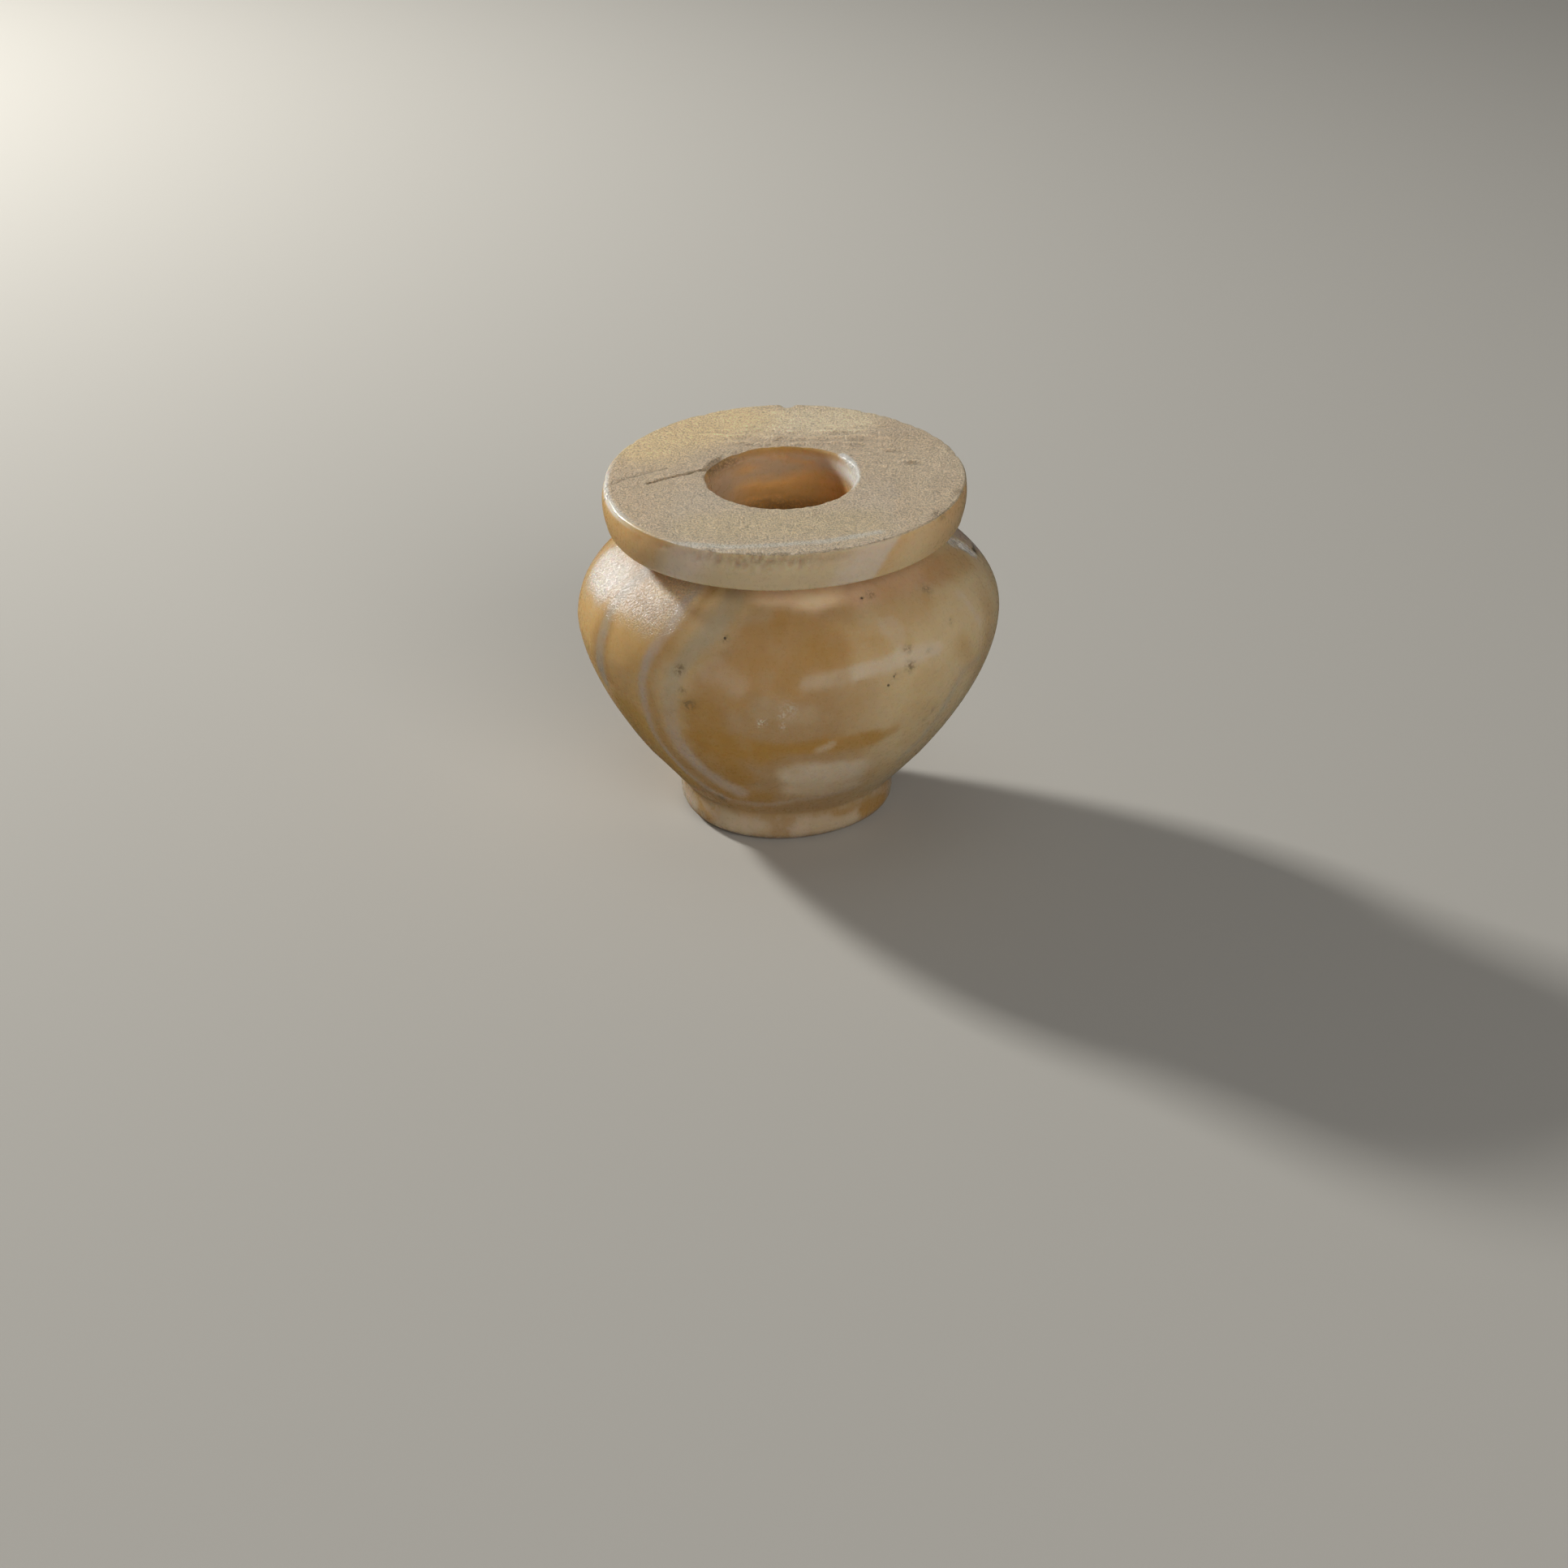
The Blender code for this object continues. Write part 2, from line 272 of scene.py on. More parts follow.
def shoulder_stretch(count=34):
    """Body radius less a share that grows as a power of the climb to the neck. It strays right and comes to
    slope as the rim does. Its rings stand closer together towards the neck."""
    share = 1 - (1 - steps(count + 1)[1:]) ** 1.5
    top = JAR_HEIGHT - RIM_THICKNESS - NECK_HEIGHT
    radius = BODY_RADIUS - (BODY_RADIUS - NECK_RADIUS) * share**SHOULDER_POWER
    lobes = BODY_LOBES * (1 - share**SHOULDER_POWER)[:, None]
    height = WIDEST_HEIGHT + (top - WIDEST_HEIGHT) * share
    return stretch(radius, height, (SHOULDER_SHIFT_X * share, 0.0), lobes, share**GROOVE_SLOPE_POWER)


def rim_stretch():
    """The neck, the rim's underside, its rounded lower edge, its bulging side, and its worn upper edge."""
    underside = JAR_HEIGHT - RIM_THICKNESS
    side = RIM_RADIUS - RIM_LEAN
    turn = steps(6) * math.pi / 2
    neck = stretch(NECK_RADIUS, underside - NECK_HEIGHT * (1 - steps(3, 0.33)), (SHOULDER_SHIFT_X, 0.0),
                   slope=1.0)
    shelf = stretch(NECK_RADIUS + (side - RIM_EDGE_ROUND - NECK_RADIUS) * steps(7, 0.12)[:-1], underside,
                    RIM_CENTRE, RIM_LOBES, 1.0)
    lower = stretch(side - RIM_EDGE_ROUND * (1 - np.sin(turn)),
                    underside + RIM_EDGE_ROUND * (1 - np.cos(turn)), RIM_CENTRE, RIM_LOBES, 1.0)
    share = steps(15, 0.06)
    upright = RIM_THICKNESS - RIM_EDGE_ROUND - RIM_TOP_WEAR
    face = stretch(side + RIM_LEAN * share + RIM_BULGE * np.sin(math.pi * share),
                   underside + RIM_EDGE_ROUND + upright * share, RIM_CENTRE, RIM_LOBES, 1.0)
    turn = steps(5, 0.2) * math.pi / 2
    edge = stretch(RIM_RADIUS - RIM_TOP_WEAR * (1 - np.cos(turn)),
                   JAR_HEIGHT - RIM_TOP_WEAR * (1 - np.sin(turn)), RIM_CENTRE, RIM_LOBES, 1.0)
    return [neck, shelf, lower, face, edge]


def top_stretch(count=66):
    """The rim's flat top: straight from the worn edge to the mouth's lip, each ring between those two."""
    outer = stretch(RIM_RADIUS - RIM_TOP_WEAR, JAR_HEIGHT, RIM_CENTRE, RIM_LOBES, 1.0)
    inner = stretch(BORE_RADIUS + LIP_ROUND, JAR_HEIGHT, MOUTH_CENTRE, MOUTH_LOBES, 1.0, 1.0)
    share = steps(count + 1)[1:, None]
    run = outer + (inner - outer) * share
    from_lip = (1 - share[:, 0]) * (RIM_RADIUS - BORE_RADIUS)
    run[:, LIP_COLUMN] = np.clip(1 - from_lip / LIP_BREAK_WIDTH, 0, 1)
    return run


def hollow_stretch():
    """Down from the lip: the worn bevel, the bore, the widening, the chamber's wall, and its floor."""
    left = 1 - BEVEL_DROPS / MOUTH_BEVEL_DEPTH
    corner = LIP_CORNER * np.clip(1 - BEVEL_DROPS / LIP_CORNER_DROP, 0, 1) ** 2
    bevel = stretch(BORE_RADIUS + corner, JAR_HEIGHT - BEVEL_DROPS, MOUTH_CENTRE, MOUTH_LOBES, 1.0,
                    left**1.5, left)
    bore_end = JAR_HEIGHT - BORE_LENGTH
    share = steps(21)[1:]
    bore = stretch(BORE_RADIUS, JAR_HEIGHT - MOUTH_BEVEL_DEPTH - (BORE_LENGTH - MOUTH_BEVEL_DEPTH) * share,
                   MOUTH_CENTRE, MOUTH_LOBES * (1 - share)[:, None], 1 - share)
    share = steps(6)[1:]
    widening = stretch(BORE_RADIUS + (CHAMBER_RADIUS - BORE_RADIUS) * smooth(share),
                       bore_end - CHAMBER_WIDENING * share, MOUTH_CENTRE)
    low = FLOOR_THICKNESS + FLOOR_ROUND
    high = bore_end - CHAMBER_WIDENING
    wall = stretch(CHAMBER_RADIUS, high + (low - high) * steps(5)[1:], MOUTH_CENTRE)
    turn = steps(6)[1:] * math.pi / 2
    corner_round = stretch(CHAMBER_RADIUS - FLOOR_ROUND * (1 - np.cos(turn)),
                           low - FLOOR_ROUND * np.sin(turn), MOUTH_CENTRE)
    flat = stretch((CHAMBER_RADIUS - FLOOR_ROUND) * (1 - steps(5, 0.25)[:-1]), FLOOR_THICKNESS, MOUTH_CENTRE)
    return [bevel, bore, widening, wall, corner_round, flat]


outside = [*foot_stretch(), belly_stretch(), shoulder_stretch(), *rim_stretch()]
parts = [*outside, top_stretch(), *hollow_stretch()]
rings = np.vstack(parts)
print("rings:", len(rings))

# %% [markdown]
# Even steps round the jar would waste faces on plain stone. The profile stands closer together where
# something small happens, such as a crack or a chip, so that these are real shapes and not painted ones.

# %% Azimuths
SEGMENTS = 384
FINE_STEPS = 7200             # round the jar, for the running total
CLOSER_AT = [
    # bearing and spread in degrees, extra closeness
    (176.0, 11.0, 1.6), (140.0, 22.0, 0.5), (2.0, 6.0, 1.8), (89.0, 3.0, 1.5), (265.0, 26.0, 0.5),
]


def turned_from(azimuth, degrees):
    """The angle from a bearing to each azimuth, brought between minus half a turn and half a turn."""
    return (azimuth - math.radians(degrees) + math.pi) % (2 * math.pi) - math.pi


def bell(azimuth, bearing, spread, power=2):
    """A bell curve: 1 at the bearing, and about a third where it is the spread away, both in degrees."""
    return np.exp(-(np.abs(turned_from(azimuth, bearing) / math.radians(spread)) ** power))


def azimuths():
    """Even steps of a running total of 1 plus a bell curve at each place of CLOSER_AT."""
    fine = np.linspace(0, 2 * math.pi, FINE_STEPS + 1)
    density = np.ones_like(fine)
    for bearing, spread, extra in CLOSER_AT:
        density += extra * bell(fine, bearing, spread)
    total = np.concatenate([[0.0], np.cumsum((density[1:] + density[:-1]) / 2)])
    return np.interp(np.arange(SEGMENTS) / SEGMENTS, total / total[-1], fine)


def surface(rows, azimuth):
    """Points of every ring: its centre plus radius times 1 plus its lobes, at each azimuth. The height adds
    the ring's share of the rim's slope. Near the mouth the radius adds the lip's wear, most where it is
    rubbed at the right and broken at the left rear, and the height drops over the break."""
    radius, height, centre_x, centre_y, slope, wear, lip = rows[:, :7].T[:, :, None]
    waves = np.stack([np.cos(2 * azimuth), np.sin(2 * azimuth), np.cos(3 * azimuth), np.sin(3 * azimuth)])
    broken = bell(azimuth, LIP_BREAK_BEARING, LIP_BREAK_SPREAD)
    rubbed = bell(azimuth, LIP_RUB_BEARING, LIP_RUB_SPREAD)
    reach = (radius + wear * (MOUTH_WEAR + LIP_BREAK * broken + LIP_RUB * rubbed)) * (1 + rows[:, 7:] @ waves)
    x = centre_x + reach * np.cos(azimuth)
    y = centre_y + reach * np.sin(azimuth)
    lip_drop = LIP_BREAK_DROP * lip * np.minimum(1, 1.6 * broken)
    z = height + slope * (RIM_RISE[0] * x + RIM_RISE[1] * y) - lip_drop
    return np.stack([x, y, z], axis=2)


def outward(grid):
    """Unit normals: the cross product of the steps round the jar and along the profile."""
    around = np.roll(grid, -1, axis=1) - np.roll(grid, 1, axis=1)
    along = np.gradient(grid, axis=0)
    normal = np.cross(around, along)
    return normal / np.maximum(np.linalg.norm(normal, axis=2, keepdims=True), 1e-12)


azimuth = azimuths()
grid = surface(rings, azimuth)
normals = outward(grid)
print("grid:", grid.shape, "widest step round the rim, mm:",
      round(float(np.diff(azimuth).max() * RIM_RADIUS / MM), 2))

# %% [markdown]
# The relief is a height in millimetres, added along each point's normal. Most of it comes from one smooth
# random field, read at several sizes. The field is a lattice of repeatable random numbers with a soft blend
# between its corners, so the jar comes out the same every time. The lattice is turned out of line with the
# jar, and starts from another place for each seed, because planes of corners that fell together would show
# as straight lines.

# %% Random field
LATTICE_TURN = np.array(Matrix.Rotation(0.7, 3, (0.48, 0.60, 0.64)))


def scatter(cells, seed):
    """A repeatable number from -1 to 1 for each lattice cell, mixed from the cell's three whole numbers."""
    mixed = cells[..., 0] * 73856093 ^ cells[..., 1] * 19349663 ^ cells[..., 2] * 83492791 ^ seed * 668265263
    mixed = (mixed ^ (mixed >> 13)) * 1274126177
    return ((mixed ^ (mixed >> 16)) & 0xFFFF) / 32767.5 - 1


def field(points, size, seed):
    """Smooth noise from -1 to 1: the lattice numbers blended by t*t*t*(t*(6t-15)+10) along each axis."""
    cell = points @ LATTICE_TURN / (size * MM) + 0.37 * seed
    base = np.floor(cell).astype(np.int64)
    part = cell - base
    part = part**3 * (part * (6 * part - 15) + 10)
    total = np.zeros(points.shape[:-1])
    for corner in itertools.product((0, 1), repeat=3):
        weight = np.prod(np.where(np.array(corner), part, 1 - part), axis=-1)
        total += weight * scatter(base + np.array(corner), seed)
    return total


# %% [markdown]
# Names for where a point is. Depth is measured from the plane of the rim's top, and reach from the mouth's
# middle, because the rim's top slopes and the mouth is off centre. Marks on the stone are given by their
# place in mm, as on a drawing, so the most useful measure of all is the distance to a path from place to
# place.

# %% Where each point is
ZONES = ["underside", "foot_edge", "foot_side", "belly", "shoulder", "neck", "shelf", "rim_lower",
         "rim_face", "rim_worn", "top", "bevel", "bore", "widening", "wall", "floor_corner", "floor"]
zone = np.concatenate([np.full(len(rows), number) for number, rows in enumerate(parts)])[:, None]
places = grid / MM
px, py, pz = places.transpose(2, 0, 1)
plan = places * np.array([1.0, 1.0, 0.0])
depth = JAR_HEIGHT / MM - (pz - RIM_RISE[0] * px - RIM_RISE[1] * py)
mouth_reach = np.hypot(px - MOUTH_CENTRE[0] / MM, py - MOUTH_CENTRE[1] / MM)
rim_reach = np.hypot(px - RIM_CENTRE[0] / MM, py - RIM_CENTRE[1] / MM)
from_edge = RIM_RADIUS / MM - rim_reach
print("zones:", len(ZONES), "of", len(parts))


def within(*names):
    """1 on the rings of the named stretches, 0 elsewhere."""
    return np.isin(zone, [ZONES.index(name) for name in names]).astype(float)


def path_away(points, path):
    """Distance to a path of straight stretches: the least of the distances to their nearest points."""
    nearest = np.full(points.shape[:-1], np.inf)
    for start, end in zip(np.array(path, float), np.array(path[1:], float)):
        run = end - start
        share = np.clip((points - start) @ run / max(run @ run, 1e-9), 0, 1)
        away = points - start - share[..., None] * run
        nearest = np.minimum(nearest, np.linalg.norm(away, axis=-1))
    return nearest


def falling(value, low, high):
    """1 under low, 0 over high, and a smooth step down between."""
    return 1 - smooth((value - low) / (high - low))


def rising(value, low, high):
    """0 under low, 1 over high, and a smooth step up between."""
    return smooth((value - low) / (high - low))


# %% [markdown]
# Hand work shows as slow waves over the whole outside. The rim's top was ground flat on a coarse stone: it
# has a sandy grain everywhere and, close behind the mouth and to its right, wavy ripples a little under two
# millimetres apart. The bore has rings left by its drill. Waves, ripples and rings are sines and noise
# along the normals, so light and shade on them are true from every side.

# %% Hand work and tool marks
RIPPLE_PITCH = 1.70           # mm, and so is the rest
RIPPLE_HEIGHT = 0.19
RIGHT_RIPPLES = [(9.2, 7.8, 0), (13.4, 2.6, 0)]
DRILL_PITCH = 1.3
DRILL_DEPTH = 0.012


def hand_waves():
    """Two sizes of noise, 9 mm and 3 mm across, on everything outside but the underside."""
    skin = within("foot_side", "belly", "shoulder", "neck", "rim_lower", "rim_face")
    return skin * (0.055 * field(grid, size=9.0, seed=1) + 0.020 * field(grid, size=3.0, seed=2))


def rim_ripples():
    """A sine of the distance back, bent by noise, with sharper crests from its own square. Noise breaks it
    up into short crests, close behind the mouth and to its right."""
    back = py + 0.08 * px + 0.55 * field(grid, size=5.0, seed=3) + 0.38 * field(grid, size=2.0, seed=25)
    behind = rising(py, 7.0, 9.0) * falling(py, 12.0, 15.5) * falling(np.abs(px), 8.0, 14.0)
    beside = falling(path_away(plan, RIGHT_RIPPLES), 1.2, 3.6)
    broken_up = np.clip(0.40 + 1.1 * field(grid * np.array([0.7, 1.0, 1.0]), size=1.5, seed=4), 0, 1)
    strength = np.maximum(0.9 * behind, beside) * broken_up * within("top")
    wave = np.sin(2 * math.pi * back / RIPPLE_PITCH)
    return RIPPLE_HEIGHT * (wave + 0.3 * wave**2) * strength


def rim_grain():
    """Slow and fine noise: the rim's top is nowhere quite flat."""
    sand = 0.038 * field(grid, size=0.75, seed=5) + 0.030 * field(grid, size=4.0, seed=7)
    return within("top", "rim_worn", "bevel") * sand


def drill_rings():
    """Fine rings down the bore: a sine of the depth, bent by noise, plus noise drawn out round the wall."""
    drawn_out = grid * np.array([0.3, 0.3, 1.0])
    down = depth + 0.3 * field(grid, size=5.0, seed=8)
    rings_cut = DRILL_DEPTH * np.sin(2 * math.pi * down / DRILL_PITCH)
    return within("bore", "widening", "wall") * (rings_cut + 0.022 * field(drawn_out, size=0.5, seed=9))


# %% [markdown]
# Two cracks cross the left of the rim, one from its edge and one to the mouth, side by side where they pass
# each other. A third runs along the rear of the lip, and a short flaw lies beside the left edge. Each is a
# path in plan with a narrow groove along it. Behind the mouth's crack the stone stands a little higher.

# %% Cracks in the rim
CRACKS = {
    # name: half width and depth in mm, and its path in plan
    "edge_crack": (0.26, 0.13, [(-21.3, -2.6, 0), (-19.7, -1.3, 0), (-18.4, -0.1, 0), (-16.0, 1.3, 0),
                                (-14.2, 2.5, 0)]),
    "mouth_crack": (0.15, 0.24, [(-16.3, -1.9, 0), (-13.7, -0.4, 0), (-11.9, 0.5, 0), (-10.4, 1.3, 0),
                                 (-9.2, 2.1, 0)]),
    "lip_crack": (0.14, 0.12, [(-5.0, 8.4, 0), (-3.1, 9.1, 0), (-0.7, 9.5, 0), (2.0, 9.5, 0)]),
    "edge_flaw": (0.18, 0.16, [(-21.2, -4.9, 0), (-20.4, -4.1, 0), (-19.9, -3.2, 0)]),
}
RAISED_SIDE = (0.45, 0.045, 0.4)   # distance behind the mouth's crack, height and half width in mm


def crack_grooves():
    """Each groove's depth times a bell curve of the distance to its path, bent a little by noise."""
    bend = (0.12 * field(grid, size=0.9, seed=10))[..., None] * np.array([1.0, -1.0, 0.0])
    groove = np.zeros_like(px)
    for half_width, cut, path in CRACKS.values():
        groove -= cut * np.exp(-((path_away(plan + bend, path) / half_width) ** 2))
    offset, height, half_width = RAISED_SIDE
    behind = path_away(plan - np.array([0.0, offset, 0.0]), CRACKS["mouth_crack"][2])
    raised = height * np.exp(-((behind / half_width) ** 2))
    return within("top", "rim_worn", "bevel") * (groove + raised)


# %% [markdown]
# The edges took the knocks. The lip of the mouth is nibbled all round and broken at its left rear. The
# rim's front edge is rubbed to a rough bevel with pits below it, its left edge is rubbed round, and its
# rear edge has one clear nick and many small ones. On the right shoulder a crumbled band runs down from the
# rim. Bell curves round a bearing or a path say where each of these is, and noise makes them ragged.

# %% Worn and chipped edges
FRONT_WEAR_BEARING = 264.0
FRONT_WEAR_SPREAD = 27.0
LEFT_WEAR_BEARING = 191.0
LEFT_WEAR_SPREAD = 15.0
FRONT_WEAR_CUT = 0.20         # mm, and so are the four below
FRONT_WEAR_DOWN = 1.35
FRONT_WEAR_IN = 0.7
LEFT_WEAR_CUT = 0.38
LEFT_WEAR_REACH = 0.90
NICKS = [
    # bearing in degrees, half width and depth in mm
    (89.0, 0.65, 0.75), (62.0, 0.5, 0.16), (56.0, 0.4, 0.12), (47.0, 0.6, 0.14), (40.0, 0.4, 0.14),
    (31.0, 0.5, 0.12), (14.0, 0.5, 0.15), (-12.0, 0.6, 0.16), (-17.0, 0.5, 0.14), (-34.0, 0.7, 0.15),
    (118.0, 0.5, 0.10), (133.0, 0.4, 0.09), (150.0, 0.5, 0.08), (188.0, 0.5, 0.14), (193.0, 0.4, 0.12),
    (205.0, 0.4, 0.06),
]
EDGE_PITS = 110
EDGE_PIT_SPREAD = 17.0        # degrees
EDGE_PIT_DEPTHS = (1.1, 0.45)    # mean and scatter in mm
EDGE_PIT_SIZES = (0.14, 0.32)    # least and most in mm
CHIP_BAND = [(18.9, -1.6, 34.8), (20.4, -0.9, 33.8), (21.4, -0.4, 32.9)]


def lip_wear():
    """Grain that grows towards the lip, and bites where slow noise is high, deepest at the broken rear."""
    near = np.exp(-((np.maximum(mouth_reach - 9.0, 0) / 0.55) ** 2)) * np.exp(-((depth / 1.0) ** 2))
    left_rear = bell(azimuth, 150.0, 32.0)
    front = bell(azimuth, 270.0, 60.0)
    bites = np.maximum(field(grid, size=1.3, seed=11) - 0.05, 0)
    bites = bites * (0.12 + 0.34 * left_rear) * (1 - 0.7 * front)
    return -within("top", "bevel") * near * (bites + 0.05 * field(grid, size=0.6, seed=12))


def front_edge_wear():
    """In front, a bevel that fades up the face and in from the edge, roughened by noise. At the left, the
    edge is only rubbed round."""
    bearing = bell(azimuth, FRONT_WEAR_BEARING, FRONT_WEAR_SPREAD, power=4)
    on_face = within("rim_face", "rim_worn") * np.clip(1 - depth / FRONT_WEAR_DOWN, 0, 1)
    on_top = within("top") * np.clip(1 - from_edge / FRONT_WEAR_IN, 0, 1)
    rough = 1 + 0.5 * field(grid, size=0.7, seed=13) + 0.3 * field(grid, size=1.8, seed=14)
    left = bell(azimuth, LEFT_WEAR_BEARING, LEFT_WEAR_SPREAD, power=4)
    rounded = np.clip(1 - np.hypot(from_edge, depth) / LEFT_WEAR_REACH, 0, 1) ** 1.4
    rounded = within("rim_face", "rim_worn", "top") * rounded
    return -FRONT_WEAR_CUT * bearing * (on_face + on_top) * rough - LEFT_WEAR_CUT * left * rounded


def edge_pits():
    """Small round pits strewn along the lower line of the front bevel."""
    rng = np.random.default_rng(7)
    bearings = np.radians(rng.normal(FRONT_WEAR_BEARING, EDGE_PIT_SPREAD, EDGE_PITS))
    depths = np.abs(rng.normal(*EDGE_PIT_DEPTHS, EDGE_PITS))
    sizes = rng.uniform(*EDGE_PIT_SIZES, EDGE_PITS)
    total = np.zeros_like(px)
    for bearing, low, size in zip(bearings, depths, sizes):
        across = turned_from(azimuth, math.degrees(bearing)) * RIM_RADIUS / MM
        total -= 0.8 * size * np.exp(-((across / size) ** 2) - ((depth - low) / size) ** 2)
    return within("rim_face", "rim_worn") * total


def rim_nicks():
    """Bites out of the rim's upper edge: a bell curve round the edge times one of the distance from it."""
    near = np.exp(-((np.hypot(from_edge, depth) / 0.55) ** 2)) * within("rim_face", "rim_worn", "top")
    total = np.zeros_like(px)
    for bearing, half_width, cut in NICKS:
        across = turned_from(azimuth, bearing) * RIM_RADIUS / MM
        total -= cut * np.exp(-((np.abs(across) / half_width) ** 3))
    crumbs = (0.05 * field(grid, size=0.7, seed=15) - 0.03) * bell(azimuth, 30.0, 60.0)
    return near * (total + crumbs)


def chip_fall():
    """1 along the crumbled band that runs down from the rim and 0 away from it, ragged by noise."""
    ragged = 0.25 * field(grid, size=0.9, seed=16) + 0.15 * field(grid, size=0.45, seed=17)
    return within("shoulder") * falling(path_away(places, CHIP_BAND) + ragged, 0.85, 1.25)


def shoulder_chip():
    """A crumbly floor inside the band."""
    return -chip_fall() * (0.10 + 0.25 * field(grid, size=0.55, seed=18))


# %% [markdown]
# The body has its own small damage: a few pits in the polish, a nick low on the left and the hole at the
# lower end of the crumbled band. They are listed by place and size, and each is a bell curve of the
# distance to its middle.

# %% Small pits in the body
BODY_PITS = [
    # place in mm, radius, depth
    ((-16.4, -8.4, 10.9), 0.55, 0.20), ((-15.7, -9.2, 9.9), 0.35, 0.10), ((-2.5, -21.9, 20.7), 0.8, 0.10),
    ((-3.3, -21.9, 20.2), 0.4, 0.10), ((11.6, -20.1, 24.9), 0.3, 0.12), ((12.2, -19.8, 25.9), 0.35, 0.10),
    ((-6.8, -20.5, 30.7), 0.35, 0.10), ((-11.9, -20.2, 26.6), 0.6, 0.07), ((-10.7, -20.3, 22.1), 0.7, 0.08),
    ((14.3, -18.7, 26.7), 0.5, 0.08), ((13.9, -18.5, 28.7), 0.45, 0.08), ((17.3, -14.5, 19.2), 0.4, 0.08),
    ((9.2, -15.8, 34.3), 0.4, 0.08), ((15.7, -12.4, 33.5), 0.4, 0.08), ((-6.0, 21.3, 28.0), 0.6, 0.10),
    ((14.0, 17.0, 22.0), 0.5, 0.10), ((21.9, 1.0, 32.2), 0.45, 0.35), ((-17.0, 14.0, 19.0), 0.5, 0.08),
    ((3.0, 22.0, 31.0), 0.4, 0.10),
]


def body_pits():
    """Bell curves of the distance to each pit's middle, roughened by noise."""
    total = np.zeros_like(px)
    for (x, y, z), radius, cut in BODY_PITS:
        away = np.sqrt((px - x) ** 2 + (py - y) ** 2 + (pz - z) ** 2)
        total -= cut * np.exp(-((away / radius) ** 2))
    return within("belly", "shoulder", "foot_side") * total * (1 + 0.5 * field(grid, size=0.5, seed=19))


marks = (hand_waves, rim_ripples, rim_grain, drill_rings, crack_grooves, lip_wear, front_edge_wear,
         edge_pits, rim_nicks, shoulder_chip, body_pits)
relief = sum(mark() for mark in marks)
print("relief from", round(float(relief.min()), 3), "to", round(float(relief.max()), 3), "mm")

# %% [markdown]
# The stone's own colours come next. Calcite grows in layers, so its veins are where an old layer meets the
# carved surface. At the left of the front three of them curve down the body side by side. Cloudy patches
# lie between, in honey that is clear enough to look into. The colours are those of the stone in full light,
# except a few that are painted light or painted shade, each marked so where it is set.

# %% Stone colours
HONEY = (0.55, 0.335, 0.133)
DEEP_HONEY = (0.50, 0.278, 0.065)
# a deep gold of the stone, kept dark as painted shade low on the left
LOW_GOLD_WITH_PAINTED_SHADE = (0.65, 0.40, 0.10)
LEFT_GOLD = (0.73, 0.475, 0.19)
TAN = (0.51, 0.33, 0.155)
CREAM = (0.58, 0.445, 0.27)
GREENISH = (0.68, 0.52, 0.29)
RIM_GREEN = (0.62, 0.50, 0.31)
OLIVE = (0.65, 0.455, 0.225)
WARM_GREY = (0.57, 0.465, 0.30)
LILAC = (0.62, 0.50, 0.40)
RIM_LILAC = (0.67, 0.56, 0.42)
GREY_VEIN = (0.49, 0.44, 0.35)
PINK_PALE = (0.66, 0.48, 0.30)
# painted light: a pale pinkish brown for the band in the rim's shadow, lighter than the stone there
UNDER_RIM_PAINTED_LIGHT = (1.0, 0.75, 0.48)
PINK_TAN = (0.64, 0.42, 0.25)
# painted light: a bright gold for the rim's shadow on the left shoulder
RIM_SHADOW_PAINTED_GOLD = (0.92, 0.66, 0.33)
PALE_GLOW = (0.72, 0.585, 0.41)
FOOT_PINK = (0.74, 0.58, 0.43)
TOP_GREY = (0.78, 0.625, 0.44)
TOP_PEACH = (1.0, 0.75, 0.40)
TOP_PALE = (1.0, 0.82, 0.54)
TOP_GREEN = (0.78, 0.62, 0.38)
TOP_LINE = (0.74, 0.68, 0.55)
# white of crushed crystals, and also the white of painted highlights
CRUSHED_AND_HIGHLIGHT_WHITE = (0.92, 0.86, 0.76)
# near white: painted light in the bore's lit crescent, and crushed white on the lip's right side
LIP_WHITE_AND_PAINTED_LIGHT = (0.98, 0.98, 0.92)
CRUMBLED = (1.0, 0.93, 0.84)
BORE_PINK = (0.60, 0.44, 0.29)
# painted glow: orange for light coming through the stone into the bore
BORE_PAINTED_GLOW_ORANGE = (0.88, 0.52, 0.19)
# brown of the bore's streaks, and painted shade in its deep
BORE_BROWN_AND_PAINTED_SHADE = (0.42, 0.22, 0.075)
DIRT_AND_SHADE_BROWN = (0.19, 0.12, 0.05)


def clouds(points, size, seed):
    """Three sizes of the random field, each half as large and half as strong as the last: about -1 to 1."""
    return sum(0.5**n * field(points, size * 0.5**n, seed + 40 * n) for n in range(3)) / 1.4


def shifted(size, amount, seed):
    """The places, moved along each axis by up to the amount, so that nothing looks drawn with a compass."""
    return places + amount * np.stack([clouds(grid, size, seed + axis) for axis in range(3)], axis=-1)


def blend(stone, colour, share):
    """The stone's colour, turned into another by a share."""
    return stone + (np.asarray(colour) - stone) * np.clip(share, 0, 1)[..., None]


def banded(value, stops):
    """A colour for each value, from (value, colour) stops with straight steps between them."""
    where = [stop[0] for stop in stops]
    bands = [np.interp(value, where, [stop[1][band] for stop in stops]) for band in range(3)]
    return np.stack(bands, axis=-1)


bent = shifted(size=6.5, amount=0.45, seed=50)      # for the veins
torn = shifted(size=2.6, amount=0.50, seed=60)      # for the patches
print("colours ready")

# %% [markdown]
# Each vein of the front is a path, and the stone takes the vein's colour where it is near enough to the
# path. Low down, the honey is darker between the narrow vein and the wide one. Behind, where nothing is
# known of the stone, a plain layer number picks bands of the same family, which run down the back.

